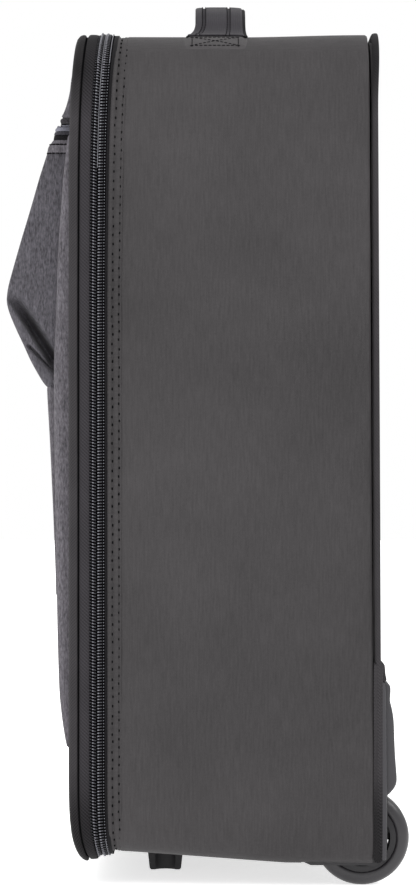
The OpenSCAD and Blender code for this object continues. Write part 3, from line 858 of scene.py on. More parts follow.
def face_panel(name, half, z0, z1, top_r, base_r, surface, thickness, material,
               columns=56):
    """A panel across the case, with its front at surface(x, z) and rounded corners."""
    turn = np.radians(np.linspace(0, 90, 9))
    low = z0 + base_r * (1 - np.cos(turn))
    high = z1 - top_r * (1 - np.cos(turn[::-1]))
    heights = np.concatenate([low, np.linspace(low[-1], high[0], 70)[1:-1], high])
    width = np.full(len(heights), float(half))
    near = heights < z0 + base_r
    width[near] -= base_r - np.sqrt(base_r**2 - (z0 + base_r - heights[near]) ** 2)
    near = heights > z1 - top_r
    width[near] -= top_r - np.sqrt(np.clip(
        top_r**2 - (heights[near] - z1 + top_r) ** 2, 0, None))
    across = np.linspace(-1, 1, columns)
    x = width[:, None] * across[None, :]
    z = np.repeat(heights[:, None], columns, 1)
    front = np.stack([x, surface(x, z), z], 2)
    back = front + [0, -thickness, 0]
    points = np.concatenate([front, back[:, ::-1]], 1)
    rows, cols = points.shape[:2]
    uv = np.stack([points[..., 0], points[..., 2]], 2)
    uv = np.concatenate([uv, uv[:, :1]], 1)
    piece = grid(name, points, uv, material, False, True)
    cap_ends(piece, rows, cols)
    return piece


def cap_ends(piece, rows, cols):
    """Closes the first and last row of a flattened tube with strips of quads."""
    made = bmesh.new()
    made.from_mesh(piece.data)
    made.verts.ensure_lookup_table()
    half = cols // 2
    for r in (0, rows - 1):
        for c in range(half - 1):
            quad = [c, c + 1, cols - 2 - c, cols - 1 - c]
            made.faces.new([made.verts[r * cols + k] for k in quad])
    made.to_mesh(piece.data)
    made.free()
    tidy_normals(piece)


# ---- the door ----


def make_door_frame(materials):
    piping = [
        (-83.5, -4.0), (-83.6, -1.2), (-84.2, -0.2), (-85.3, 0.1), (-86.6, -0.2),
        (-87.8, -1.0), (-88.9, -2.6), (-89.4, -4.8), (-89.5, -7.6), (-89.0, -9.4),
        (-87.6, -9.8), (-85.2, -8.5),
    ]
    edge = flat_ring("piping", PIPING_LINE, piping, materials["twill"], None, 0.12, 21)
    place(edge, "door", "twill_binding", ("door_piping",))
    strip = [
        (-82.3, -5.0), (-82.4, -1.0), (-81.9, -0.2), (-81.1, 0.15), (-79.8, 0.2),
        (-78.0, 0.1), (-76.6, -0.1), (-76.0, -0.4), (-75.8, -1.2), (-76.0, -2.8),
        (-78.5, -5.0),
    ]
    band = flat_ring("side_band", DOOR_LINE, strip, materials["twill_band"], None, 0.1, 22)
    place(band, "door", "twill_binding", ("door_side_strip",))
    # Painted shade: a near-black sheet deep in the groove between the piping and the band.
    shade_core = [(-84.5, -4.5), (-84.5, -1.5), (-81.0, -1.5), (-81.0, -4.5)]
    seam = flat_ring("door_seam_shade", DOOR_LINE, shade_core, materials["dark"])
    place(seam, "door", "twill_binding")


def make_hinge(materials):
    rows = 40
    z = np.linspace(HINGE_Z[0] + 1, HINGE_Z[1] - 1, rows)
    profile = [(-76.0, 0.5), (-73.5, 1.0), (-71.5, 0.75), (-69.8, 0.55), (-68, 0.8),
               (-66, 1.1), (-64.5, 0.6), (-65, -0.6), (-68, -1.1), (-70, -1.3),
               (-72, -1.1), (-75.5, -0.8)]
    points = np.zeros((rows, len(profile), 3))
    for k, (y, out) in enumerate(profile):
        points[:, k, 0] = -HALF_W + 0.9 - out - 0.15 * ripple(z / 20, y / 9, 31)
        points[:, k, 1] = y + lean_back(y, z)
        points[:, k, 2] = z
    across = np.arange(len(profile) + 1) * 1.5
    strip = swept("hinge_fabric", points, z[:, None], across, materials["strip"])
    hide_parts("hinge_strip")
    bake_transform(strip)


def bag_loop(half, y, back, corner, columns, side_columns):
    """Plan of a sewn front as (x, y): up one side, across the front and back again."""
    depth = back - y
    r = min(corner, 0.45 * depth)
    turn = np.radians(np.linspace(0, 90, 6))
    run = np.linspace(0, 1, side_columns)[:-1]
    right = [(half, back - t * (depth - r)) for t in run]
    right += [(half - r * (1 - math.cos(a)), y + r - r * math.sin(a)) for a in turn]
    middle = [(x, y) for x in np.linspace(half - r, r - half, columns)[1:-1]]
    return right + middle + [(-x, q) for x, q in right[::-1]]


def bag_front(name, half, profile, back, corner, material, side=None, front=None,
              columns=44, side_columns=10, thickness=1.6):
    """A sewn front: rows of a (y, z) profile, each wrapping round both sides to the back.

    half and back may be numbers or functions of the height.
    """
    rows = []
    halves = [half(z) if callable(half) else half for _, z in profile]
    for (y, z), wide in zip(profile, halves):
        rear = back(z) if callable(back) else back
        loop = bag_loop(wide, y, rear, corner, columns, side_columns)
        rows.append([(x, q, z) for x, q in loop])
    points = np.array(rows)
    inset = np.array(halves)[:, None] - np.abs(points[..., 0])
    flat = smoothstep(corner * 0.3, corner * 3, inset)
    on_side = smoothstep(corner, 0, inset)
    if front is not None:
        points[..., 1] += flat * front(points[..., 0], points[..., 2])
    if side is not None:
        amount = side(points[..., 1], points[..., 2], np.sign(points[..., 0]))
        points[..., 0] -= np.sign(points[..., 0]) * amount * on_side
    return sewn_sheet(name, points, material, thickness)


def end_wraps(name, half, profile, back, corner, reach, material):
    """The profile's layer at both ends only: along each side and a little of the front."""
    made = []
    for sign, hand in ((1, "right"), (-1, "left")):
        rows = []
        for y, z in profile:
            loop = bag_loop(half, y, back, corner, 30, 8)
            near = [(x, q) for x, q in loop if x > half - corner * 1.01]
            near.append((half - corner - reach, y))
            rows.append([(sign * x, q, z) for x, q in near])
        made.append(sewn_sheet(f"{name}_{hand}", np.array(rows), material, 0.9))
    return made


def sewn_sheet(name, points, material, thickness):
    """A sheet of fabric through points[row][column], facing away from the case."""
    piece = grid(name, points, np.zeros(points.shape[:2] + (2,)), material)
    facing = sum(face.normal.y * face.area for face in piece.data.polygons)
    if facing > 0:
        piece.data.flip_normals()
    thicken(piece, thickness)
    lay_straight(piece)
    return piece


def resample(profile, spacing):
    """Points every few mm along a smooth curve through a profile."""
    control = np.array(profile, float)
    padded = np.vstack([control[0], control, control[-1]])
    dense = []
    for i in range(len(control) - 1):
        p0, p1, p2, p3 = padded[i : i + 4]
        for t in np.linspace(0, 1, 12, endpoint=False):
            dense.append(0.5 * (2 * p1 + (p2 - p0) * t
                                + (2 * p0 - 5 * p1 + 4 * p2 - p3) * t**2
                                + (3 * p1 - p0 - 3 * p2 + p3) * t**3))
    dense.append(control[-1])
    dense = np.array(dense)
    run = distances(dense)
    count = max(2, int(round(run[-1] / spacing)) + 1)
    return pick(np.linspace(0, run[-1], count), run, dense)


LENS = [(-88.2, 87), (-89.6, 87.2), (-91.2, 90), (-92.6, 97), (-94.0, 106), (-95.2, 116),
        (-96.0, 126), (-96.7, 145), (-97.4, 174), (-98.2, 220), (-98.9, 260),
        (-99.4, 300), (-99.4, 338), (-98.2, 366), (-96.8, 408), (-94.0, 449),
        (-91.8, 471), (-90.2, 483), (-88.2, 486)]
FLAT_POCKET = [(-97.0, 184.5), (-98.0, 184.6), (-98.4, 187), (-98.8, 203), (-99.9, 232),
               (-101.2, 261), (-102.6, 290), (-103.8, 310), (-104.2, 322),
               (-102.5, 327)]
BELLOWS = [(-102.4, 321.4), (-104.0, 321.2), (-106.2, 323.4), (-109.6, 328.6),
           (-115.2, 338.8), (-119.6, 348.6), (-124.2, 358.4), (-128.0, 367.6),
           (-129.9, 374), (-130.3, 379), (-129.2, 387.0), (-126.6, 397), (-121.1, 416.5),
           (-115.3, 436), (-109.7, 455.4), (-106.6, 465.2), (-104.2, 472.6),
           (-103.2, 476.4), (-101.6, 479.0), (-100.2, 481.0), (-98.4, 482.4)]
BROW = [(-84.0, 541), (-84.6, 536), (-87.9, 520), (-88.9, 511), (-90.7, 503.5),
        (-92.7, 498.0), (-94.1, 495.4), (-94.3, 494.3), (-93.4, 493.8), (-88, 493.8)]
LENS_HALF = 160
POCKET_HALF = 150
CREASE_ONE = ((-128.5, 380.5), (-99.6, 335.6))
CREASE_TWO = ((-116.5, 348.3), (-99.2, 330.6))


def lens_face(z):
    """Depth of the laptop compartment's front at a height."""
    depths, heights = zip(*LENS)
    return float(np.interp(z, heights, depths))


def on_lens(z):
    """Depth at which a pocket's sides meet the laptop compartment."""
    return lens_face(z) + 1.2


def below(line, y, z):
    """Signed distance under a crease given by its front and back points in side view."""
    (y0, z0), (y1, z1) = line
    dy, dz = y1 - y0, z1 - z0
    return ((z0 - z) * dy + (y - y0) * dz) / math.hypot(dy, dz)


def share_of(line, y, z):
    """How far along a crease a point lies, 0 at its front end and 1 at its back end."""
    (y0, z0), (y1, z1) = line
    dy, dz = y1 - y0, z1 - z0
    return ((y - y0) * dy + (z - z0) * dz) / (dy * dy + dz * dz)


def bellows_side(y, z, hand):
    """How far the pocket's side is drawn in: a deep fold, a thin one and a roll under them."""
    one, two = below(CREASE_ONE, y, z), below(CREASE_TWO, y, z)
    along = share_of(CREASE_ONE, y, z)
    deep = 24 * smoothstep(-0.14, 0.5, along) * (1 - 0.4 * smoothstep(0.92, 1.06, along))
    wide, sharp = np.where(one < 0, 4.0, 2.1), np.where(one < 0, 2.4, 4.0)
    fold = deep * np.exp(-(np.abs(one) / wide) ** sharp)
    behind = share_of(CREASE_TWO, y, z)
    thin = 5.0 * np.exp(-((two / 0.9) ** 2)) * smoothstep(-0.06, 0.06, behind)
    edge = 1.3 * np.exp(-(((two + 2.2) / 1.0) ** 2)) * smoothstep(-0.05, 0.1, behind)
    roll = 1.3 * smoothstep(0.5, 4.5, two) * smoothstep(318, 327, z)
    soft = 0.45 * ripple(y / 17, z / 17 + hand, 41) + 0.3 * ripple(y / 6, z / 9 + hand, 43)
    panel = 0.9 * np.sin(np.clip((z - 395) / 80, 0, 1) * math.pi)
    return fold + thin - edge - roll + soft + panel


def field(x, z):
    """Depth of the door's melange field."""
    crown = -0.4 * (1 - (x / 165) ** 2)
    return -87.6 + crown + lean_back(-88.0, z) + 0.1 * ripple(x / 30, z / 30, 51)


# Soft swells across the fronts, as depths added at (x, z).


def lens_front(x, z):
    return 0.5 * ripple(x / 60, z / 60, 53) - 0.8 * (1 - (x / LENS_HALF) ** 2)


def flat_front(x, z):
    return 0.3 * ripple(x / 50, z / 40, 55)


def pocket_front(x, z):
    return 0.5 * ripple(x / 42, z / 30, 47) - 1.6 * (1 - (x / POCKET_HALF) ** 2)


def brow_front(x, z):
    return 0.2 * ripple(x / 40, z / 15, 57)


def brow_half(z):
    """Half width of the brow, which follows the piping's corners."""
    return 130 + math.sqrt(35.5**2 - max(z - 506, 0) ** 2)


def make_front(materials):
    light, pocket_cloth = materials["melange"], materials["pocket"]
    panel = face_panel("front_field", 167.5, 24.5, 543.5, 37.5, 12.5, field, -3.0, light)
    place(panel, "door", "melange_fabric", ("laptop_front",))
    lens = bag_front("laptop_compartment", LENS_HALF, resample(LENS, 4.5), -86.5, 5.0, light,
                     None, lens_front)
    place(lens, "door", "melange_fabric", ())
    flat = bag_front("lower_pocket", POCKET_HALF, resample(FLAT_POCKET, 4.0), on_lens, 3.0,
                     light, None, flat_front)
    place(flat, "door", "melange_fabric", ("flat_pocket",))
    pocket = bag_front("bellows_pocket_fabric", POCKET_HALF, resample(BELLOWS, 1.3), on_lens,
                       3.5, pocket_cloth, bellows_side, pocket_front, 60, 44)
    place(pocket, "door", "melange_fabric", ("bellows_pocket",))
    # The brow takes the darker pocket melange: painted shade.
    brow = bag_front("brow_fabric", brow_half, resample(BROW, 2.5), -83.6, 4.0, pocket_cloth,
                     None, brow_front)
    place(brow, "door", "melange_fabric", ("front_brow",))
    make_mouth(materials)


# Layers at the bellows pocket's mouth, from its hem up to the fold under the laptop zip.
HEM = [(-104.3, 472.9), (-103.9, 474.6), (-103.5, 476.4), (-102.6, 477.8)]
STRIP = [(-102.0, 478.6), (-101.2, 479.7), (-100.5, 480.8)]
DARK_TAPE = [(-100.1, 481.2), (-99.9, 482.6), (-99.6, 484.1)]
RIBBED = [(-99.6, 484.4), (-99.6, 485.2), (-99.2, 486.1), (-98.9, 486.4)]
SATIN = [(-98.8, 486.7), (-99.0, 487.6), (-98.6, 488.6), (-97.2, 489.2), (-92.5, 489.3)]
CORD = [(-94.6, 489.7), (-95.3, 489.9), (-95.4, 490.3), (-94.8, 490.6), (-92.0, 490.6)]
HOOD = [(-84.5, 493.9), (-90.2, 493.9), (-94.2, 493.7), (-95.0, 492.9), (-95.1, 491.8),
        (-94.4, 491.1), (-85.0, 491.0)]


def make_mouth(materials):
    for name, profile, key in (("hem", HEM, "melange"), ("hem_strip", STRIP, "melange"),
                               ("mouth_tape", DARK_TAPE, "tape")):
        layer = bag_front(name, POCKET_HALF + 0.5, resample(profile, 1.0), -88.9, 3.6,
                          materials[key], thickness=0.8)
        place(layer, "door", "melange_fabric")
    ends = (("ribbed_end", RIBBED, "ribbed"), ("satin_end", SATIN, "satin"),
            ("cord_end", CORD, "satin"))
    for name, profile, key in ends:
        for piece in end_wraps(name, POCKET_HALF + 0.7, resample(profile, 0.7), -88.6, 3.6,
                               1.6, materials[key]):
            place(piece, "door", "melange_fabric")
    for piece in end_wraps("zip_hood", 165.8, resample(HOOD, 1.2), -84.0, 4.0, 8.5,
                           materials["twill_band"]):
        place(piece, "door", "melange_fabric")
    for k, (y, z, lift) in enumerate(((-102.8, 478.2, 0.9), (-104.3, 472.5, 0.7))):
        plan = bag_loop(POCKET_HALF + lift, y, -89.5, 3.6, 44, 10)
        line = resample([(x, q, z) for x, q in plan], 2.0)
        ahead = np.gradient(line, axis=0)
        outward = np.stack([-ahead[:, 1], ahead[:, 0], 0 * ahead[:, 0]], 1)
        outward *= np.sign((outward * [1, 1, 0] * (line - [0, -60, 0])).sum(1))[:, None]
        piece = repeat(f"hem_stitch_{k}", stitch(2.2, 0.42, 0.25),
                       line_frames(line, outward, 2.6), materials["dark"])
        place(piece, "door", "melange_fabric")


ZIP_TILT = math.radians(59.7)
ZIP_ACROSS = np.array([0, math.cos(ZIP_TILT), math.sin(ZIP_TILT)])
ZIP_UP = np.array([0, -math.sin(ZIP_TILT), math.cos(ZIP_TILT)])
LAPTOP_ZIP = (-94.6, 492.3)
POCKET_ZIP = (-98.0, 486.6)


def tilted_frames(mid, half, pitch, offset, side):
    """Frames along X on a front zip, which lies at a tilt about X."""
    x = np.arange(-half + offset, half, pitch)
    origin = np.stack([x, 0 * x + mid[0], 0 * x + mid[1]], 1)
    axes = ((1.0, 0, 0), ZIP_ACROSS * side, ZIP_UP)
    return origin, *(np.tile(axis, (len(x), 1)) for axis in axes)


def tilted_strip(name, mid, half, profile, material):
    """A strip along X whose profile is (across, up) from a front zip's middle."""
    xs = np.linspace(-half, half, 60)
    points = np.zeros((len(xs), len(profile), 3))
    for k, (across, up) in enumerate(profile):
        sway = 0.15 * ripple(xs / 22, across / 3 + 0 * xs, 61)
        points[:, k] = (0, *mid) + across * ZIP_ACROSS + (up + sway)[:, None] * ZIP_UP
        points[:, k, 0] = xs
    return swept(name, points, xs[:, None], np.arange(len(profile) + 1), material)


def make_front_zips(materials):
    tape_line = [(-3.1, -1.2), (-3.1, -0.5), (0, -0.35), (3.1, -0.5), (3.1, -1.2), (0, -1.1)]
    points, faces = tooth(SHELL_TOOTH["coil"] + SHELL_TOOTH["coil_low"])
    small = [(0.72 * a, 0.42 * b, 0.6 * c - 0.25) for a, b, c in points]
    for name, mid in (("laptop", LAPTOP_ZIP), ("pocket", POCKET_ZIP)):
        tape = tilted_strip(name + "_tape", mid, 149.5, tape_line, materials["tape"])
        place(tape, "door", "zip_tape", (name + "_zip",))
        for side in (1, -1):
            frames = tilted_frames(mid, 147, 1.5, 0.75 * (side > 0), side)
            teeth = repeat(f"{name}_teeth_{'ab'[side > 0]}", (small, faces), frames,
                           materials["coil"])
            place(teeth, "door", "zip_coil")
    lip = tilted_strip("pocket_trim", (-96.7, 489.4), 149,
                       [(-1.3, -2.0), (-1.6, 0.0), (-0.9, 0.9), (0.2, 1.1), (0.9, 0.5),
                        (1.0, -0.8), (0.3, -2.0)], materials["satin"])
    place(lip, "door", "melange_fabric")


# ---- carry handle ----


def handle_path():
    """Middle line of the strap in front view, from one sewn end to the other."""
    turns = [math.radians(a) for a in range(46, 88, 6)]
    half = [(130 + 45.2 * math.cos(a), 506 + 45.2 * math.sin(a)) for a in turns]
    half += [(129, 553.9), (121, 560.4), (112, 566.2), (100, 570.3), (86, 572.4),
             (59, 573.2), (30, 573.5)]
    return resample(half + [(-x, z) for x, z in half[::-1]], 2.0)


STRAP_END = 20   # length of each sewn end
STRAP_SEAMS = (-0.63, 0.42)   # places of the lengthwise seams, as shares of half the width


def make_handle(materials):
    path = handle_path()
    tangent = units(np.gradient(path, axis=0))
    normal = np.stack([tangent[:, 1], -tangent[:, 0]], 1)
    normal *= np.sign((normal * (path - [0, 300])).sum(1))[:, None]
    run = distances(path)
    reach = np.minimum(run, run[-1] - run)
    pad = smoothstep(STRAP_END + 2, 54, reach)
    hem = 0.8 * np.exp(-(((reach - STRAP_END - 1.5) / 1.6) ** 2))
    half_wide = 18.5 - 3.1 * smoothstep(18, 44, reach)
    middle = 5.0 + 2.1 * smoothstep(18, 44, reach)
    thick = 0.8 + 1.7 * pad + hem

    def strap(name, top, key, rows, rise, drop=0.0, slack=0.0):
        """A closed strap from (share of the width, height share) points of its top."""
        profile = top + [(t * 0.99, -h) for t, h in top[::-1]]
        points = np.zeros((len(rows), len(profile), 3))
        for k, (t, h) in enumerate(profile):
            out = rise[rows] * h * (1 if h > 0 else 1 - slack) - drop
            points[:, k, 0] = path[rows, 0] + normal[rows, 0] * out
            points[:, k, 2] = path[rows, 1] + normal[rows, 1] * out
            points[:, k, 1] = middle[rows] + t * half_wide[rows]
        across = distances(points[2])
        return swept(name, points, run[rows, None], np.append(across, across[-1] + 2),
                     materials[key])

    long_part = np.nonzero(reach > STRAP_END - 1)[0]
    top = []
    for t in np.linspace(-1, 1, 41):
        groove = sum(math.exp(-(((t - seam) / 0.05) ** 2)) for seam in STRAP_SEAMS)
        top.append((t, (1 - 0.3 * t**4 - 0.4 * groove) * (0.6 if abs(t) > 0.97 else 1)))
    outer = strap("strap", top, "webbing", long_part, thick, 0.0, 0.3)
    place(outer, "case", "handle_webbing", ("carry_handle",))
    under = [(-0.9, 0.35), (-0.8, 0.6), (1.0, 0.7), (1.08, 0.65), (1.13, 0.3)]
    back = strap("strap_back", under, "tape", long_part, thick, 0.7)
    place(back, "case", "handle_webbing")
    swell = 1.5 * smoothstep(0, 4, reach) * smoothstep(STRAP_END + 2, STRAP_END - 1, reach)
    cover = [(t, float(smoothstep(1.12, 0.86, abs(t)))) for t in np.linspace(-1.12, 1.12, 25)]

    def sew(name, line, ups, pitch, shape):
        piece = repeat(name, shape, line_frames(line, ups, pitch), materials["thread"])
        place(piece, "case", "handle_webbing")

    def on_top(y, rows, lift, height=thick):
        """Points of the strap's top at depth y, with their normals."""
        rise = normal * (height[:, None] + lift)
        spots = np.stack([path[:, 0] + rise[:, 0], 0 * run + y, path[:, 1] + rise[:, 1]], 1)
        ups = np.stack([normal[:, 0], 0 * run, normal[:, 1]], 1)
        return spots[rows], ups[rows]

    # Two stitch rows hug each seam; their dark thread is real stitching that also paints the
    # shade of the seam grooves.
    for k, seam in enumerate(STRAP_SEAMS):
        for side in (-1, 1):
            y = middle + (seam + 0.065 * side) * half_wide
            line, ups = on_top(y, long_part, -0.15)
            sew(f"strap_stitch_{k}_{'ab'[side > 0]}", line, ups, 2.7, stitch(2.3, 0.33))
    sunk = 1.25
    y0, y1 = -10.3, 19.6
    for hand, sign in (("right", 1), ("left", -1)):
        own = sign * path[:, 0] > 0
        end = np.nonzero(own & (reach < STRAP_END + 2))[0]
        # The patches take a lighter copy of the side fabric: painted light on the up-facing
        # ends.
        patch = strap(f"patch_{hand}", cover, "patch", end, swell, sunk)
        place(patch, "case", "side_polyester")
        # Painted shade: a near-black strip across the strap where it rises off the patch.
        slit = np.nonzero(own & (reach > STRAP_END - 3) & (reach < STRAP_END + 3))[0]
        mouth = strap(f"slit_{hand}", [(-1.04, 0.5), (0, 1), (1.08, 0.5)], "dark", slit,
                      0.6 + 0 * reach, 0.35)
        place(mouth, "case", "handle_webbing")
        rows = np.nonzero(own & (reach < STRAP_END - 2) & (reach > 3))[0]
        rows = rows[np.argsort(reach[rows])]
        slope = np.linspace(0, 1, len(rows))
        runs = [on_top(y, rows, -sunk, swell) for y in (y0, y1)]
        for a, b in ((y0, y1), (y1, y0)):
            line, ups = on_top(0.0, rows, -sunk, swell)
            line[:, 1] = a + (b - a) * slope
            runs.append((line, ups))
        for row in (rows[0], rows[-1]):
            spots, ups = on_top(0.0, [row, row], -sunk, swell)
            spots[:, 1] = (y0, y1)
            runs.append((spots, ups))
        for k, (line, ups) in enumerate(runs):
            sew(f"patch_thread_{hand}_{k}", line, ups, 2.9, stitch(2.3, 0.36))


# ---- wheels, guards and foot ----


def bar(name, profile, x0, x1, radius, material, spacing):
    """A closed side profile of (y, z) run from x0 to x1, with its ends rounded over."""
    loop = resample(profile + [profile[0]], spacing)[:-1]
    centre = loop.mean(0)
    ahead = np.roll(loop, -1, 0) - np.roll(loop, 1, 0)
    normal = np.stack([ahead[:, 1], -ahead[:, 0]], 1)
    normal /= np.linalg.norm(normal, axis=1)[:, None] + 1e-9
    if ((loop - centre) * normal).sum() < 0:
        normal = -normal
    turn = np.radians([0, 30, 60, 90])
    round_over = [(radius * (1 - math.cos(a)), radius * (1 - math.sin(a))) for a in turn]
    sign = 1 if x1 > x0 else -1
    inner = np.linspace(x0 + sign * radius, x1 - sign * radius, 6)[1:-1]
    stations = [(x0 + sign * away, inset) for away, inset in round_over]
    stations += [(x, 0.0) for x in inner]
    stations += [(x1 - sign * away, inset) for away, inset in round_over[::-1]]
    points = np.zeros((len(stations), len(loop), 3))
    for i, (x, inset) in enumerate(stations):
        points[i, :, 0] = x
        points[i, :, 1:] = loop - normal * inset
    across = np.array([x for x, _ in stations])[:, None]
    return swept(name, points, np.arange(len(loop) + 1) * spacing, across, material, 40)


GUARD = [(106.8, 132.6), (112.2, 132.3), (114.8, 131.4), (116.6, 129.6), (117.1, 127.4),
         (117.0, 123.5), (116.8, 119.8), (117.5, 116.5), (118.4, 112.5), (119.2, 106),
         (119.6, 95), (120.0, 86), (120.7, 76), (121.1, 70.2), (120.8, 66.6),
         (119.4, 63.6), (117.4, 61.2), (115.0, 59.2), (109.0, 59.6), (106.8, 62),
         (106.8, 85), (106.8, 110)]
TAB = [(106.8, 132.2), (114.0, 132.2), (113.8, 137), (113.3, 142.4), (112.5, 143.6),
       (108.5, 143.9), (106.8, 142), (106.8, 137)]
FLAP = [(106.0, 19.5), (106.6, 16.8), (108.2, 15.9), (110.6, 16.1), (111.4, 18), (111.8, 24),
        (111.9, 60), (111.9, 100), (112.0, 132), (112.6, 142), (111.8, 143.5),
        (107.2, 143.6), (106.1, 141), (106.0, 100), (106.0, 50)]
EDGE = [(110.4, 19.5), (111.6, 17.8), (113.4, 18.2), (114.3, 22), (114.6, 60),
        (114.3, 95), (113.9, 124), (113.4, 130), (112.4, 131.5), (110.4, 129), (110.4, 90),
        (110.4, 45)]
AXLE = (99, 30.7)   # (y, z) of the wheels' axis
WHEEL_X = 151
# Half of the tyre's section, as (radius, distance from its middle plane).
TYRE = [(22.15, 5.0), (22.15, 9.8), (22.7, 10.4), (24.0, 10.8), (25.4, 10.6), (27.0, 10.1),
        (28.5, 9.2), (29.7, 7.8), (30.4, 6.2), (30.7, 4.2)]


def lathe(name, middle_x, section, material):
    """A closed section of (radius, offset along X) turned about the wheels' axis."""
    turns = 96
    angle = np.linspace(0, 2 * math.pi, turns, endpoint=False)
    radius, offset = np.array(section).T
    points = np.zeros((turns, len(section), 3))
    points[..., 0] = middle_x + offset[None, :]
    points[..., 1] = AXLE[0] + radius[None, :] * np.cos(angle)[:, None]
    points[..., 2] = AXLE[1] + radius[None, :] * np.sin(angle)[:, None]
    uv = np.zeros((turns + 1, len(section) + 1, 2))
    uv[..., 0] = np.linspace(0, 190, turns + 1)[:, None]
    uv[..., 1] = np.arange(len(section) + 1)[None, :]
    return grid(name, points, uv, material, True, True)


def make_corners(materials):
    # (piece, profile, inner x, outer x, rounding, spacing, material, slot, replaced nodes)
    bars = (
        ("guard", GUARD, 130, 171.8, 1.6, 1.6, "guard", "guard_plastic", ("corner_guards",)),
        # The housing edge takes the lighter guard plastic rather than the housing's own:
        # painted highlight along its rounded edge.
        ("housing_edge", EDGE, 163, 174.6, 1.0, 1.2, "guard", "guard_plastic", ()),
        ("tab", TAB, 130.5, 172.5, 0.6, 1.2, "twill", "twill_binding", ("guard_tabs",)),
        ("flap", FLAP, 171, 175, 0.8, 1.6, "twill", "twill_binding", ()),
    )
    section = TYRE + [(r, -a) for r, a in TYRE[::-1]]
    for sign, hand in ((1, "right"), (-1, "left")):
        for name, profile, x0, x1, radius, spacing, key, slot, nodes in bars:
            piece = bar(f"{name}_{hand}", profile, sign * x0, sign * x1, radius,
                        materials[key], spacing)
            place(piece, "case", slot, nodes)
        tyre = lathe(f"tyre_look_{hand}", sign * WHEEL_X, section, materials["tyre"])
        place(tyre, f"wheel_{hand}", "tyre_rubber", (f"tyre_{hand}",))


# ---- lining and inside ----


def make_inside(materials):
    def lining_wall(t):
        return Outline(HALF_W - 1 - t, 28, TOP_Z - 2 - t, 44 - t, 14)

    outer, inner = lining_wall(5.3), lining_wall(6.2)
    n = len(outer.points)
    soft = 0.5 * ripple(outer.along[:n] / 30, 0 * outer.along[:n], 71)
    stations = []
    for y in (-57.5, -30, 0, 30, 60, 82):
        stations.append((inner, y + 0 * soft, -0.3 + soft * (0.4 if abs(y) < 56 else 0)))
    for y in (82.6, -57.5):
        stations.append((outer, y + 0 * soft, 0 * soft))
    walls = ring("lining_walls", stations, materials["lining"])
    cut_away(walls, WHEEL_WELLS + [((-88.5, 63.5, 510), (88.5, 108, 560))])
    place(walls, "case", "lining_fabric", ("lining",))

    def back(x, z):
        return 82.0 - 1.2 * (1 - (x / 170) ** 2) + 0.5 * ripple(x / 35, z / 35, 73)

    panel = face_panel("lining_back", 167, 29, 543, 38, 13, back, -0.8, materials["lining"])
    cut_away(panel, WHEEL_WELLS + [((-88.5, 60, 510), (88.5, 108, 560))])
    place(panel, "case", "lining_fabric")

    def board(x, z):
        edge = np.clip(np.minimum(170 - np.abs(x), np.minimum(z - 20, 548 - z)) / 14, 0, 1)
        lean = lean_back(-71.0, z)
        return -70.9 - 0.9 * (1 - edge) ** 2 + lean + 0.15 * ripple(x / 40, z / 40, 75)

    divider = face_panel("door_divider", 170.5, 22.5, 547.5, 40.5, 15.5, board, 2.4,
                         materials["lining"])
    place(divider, "door", "lining_fabric", ("door_board",))


# ---- zip sliders ----

PIN_UP = 4.6   # height of a slider's pin above its chain


def block(stations, corners=16):
    """A closed rounded bar along X from (x, half width, low, high) stations."""
    points = []
    for x, wide, low, high in stations:
        for k in range(corners):
            a = 2 * math.pi * (k + 0.5) / corners
            c, d = math.cos(a), math.sin(a)
            across = wide * math.copysign(abs(c) ** 0.5, c)
            up = (low + high) / 2 + (high - low) / 2 * math.copysign(abs(d) ** 0.5, d)
            points.append((x, across, up))
    return points, ring_faces(len(stations), corners)


def moved(shape, across):
    points, faces = shape
    return [(x, y + across, z) for x, y, z in points], faces


def slider_shape(width):
    """A slider of a width: top plate, two side flanges, two lugs and a pin."""
    half = width / 2
    plate = block([(-6.2, 0.5 * half, 1.1, 2.2), (-5.5, 0.8 * half, 0.9, 2.6),
                   (-3.5, half, 0.8, 2.8), (3, half, 0.8, 2.8), (5.4, 0.72 * half, 0.9, 2.6),
                   (6.2, 0.4 * half, 1.1, 2.2)])
    flange = block([(-4.6, 0.4, -0.6, 1.2), (-4.2, 0.5, -0.8, 1.4), (2.8, 0.5, -0.8, 1.4),
                    (3.2, 0.4, -0.6, 1.2)])
    lug = block([(-2.1, 0.4, 2.4, 3.4), (-1.5, 0.5, 2.4, 5.0), (0, 0.5, 2.4, 5.9),
                 (1.5, 0.5, 2.4, 5.0), (2.1, 0.4, 2.4, 3.4)])
    lug_at = half - 0.9
    pin = bar_template([(0, -lug_at, PIN_UP, 0.75, 0.75), (0, lug_at, PIN_UP, 0.75, 0.75)], 14)
    return joined([plate, pin] + [moved(flange, s * (half - 0.3)) for s in (1, -1)]
                  + [moved(lug, s * lug_at) for s in (1, -1)])


def puller_shape(width, ring):
    """A puller of a width lying along +X from its pin, with an eye of half width ring."""
    half, mid = width / 2, PIN_UP
    body = block([(-1.65, 0.8 * ring, mid - 0.5, mid + 0.5),
                  (-1.2, ring, mid - 1.1, mid + 1.1), (0, ring, mid - 1.6, mid + 1.6),
                  (1.2, ring, mid - 1.2, mid + 1.2), (2.6, 0.9 * ring, mid - 0.7, mid + 0.7),
                  (3.6, 0.8 * half, mid - 0.75, mid + 0.7), (5, half, mid - 0.85, mid + 0.8),
                  (26, half, mid - 0.85, mid + 0.8), (28, 0.82 * half, mid - 0.8, mid + 0.7),
                  (28.9, 0.5 * half, mid - 0.5, mid + 0.4)], 20)
    ribs = [block([(x - 0.5, 0.6 * half, mid + 0.4, mid + 0.9),
                   (x, 0.66 * half, mid + 0.4, mid + 1.1),
                   (x + 0.5, 0.6 * half, mid + 0.4, mid + 0.9)]) for x in (17, 19.5, 22, 24.5)]
    return joined([body] + ribs)


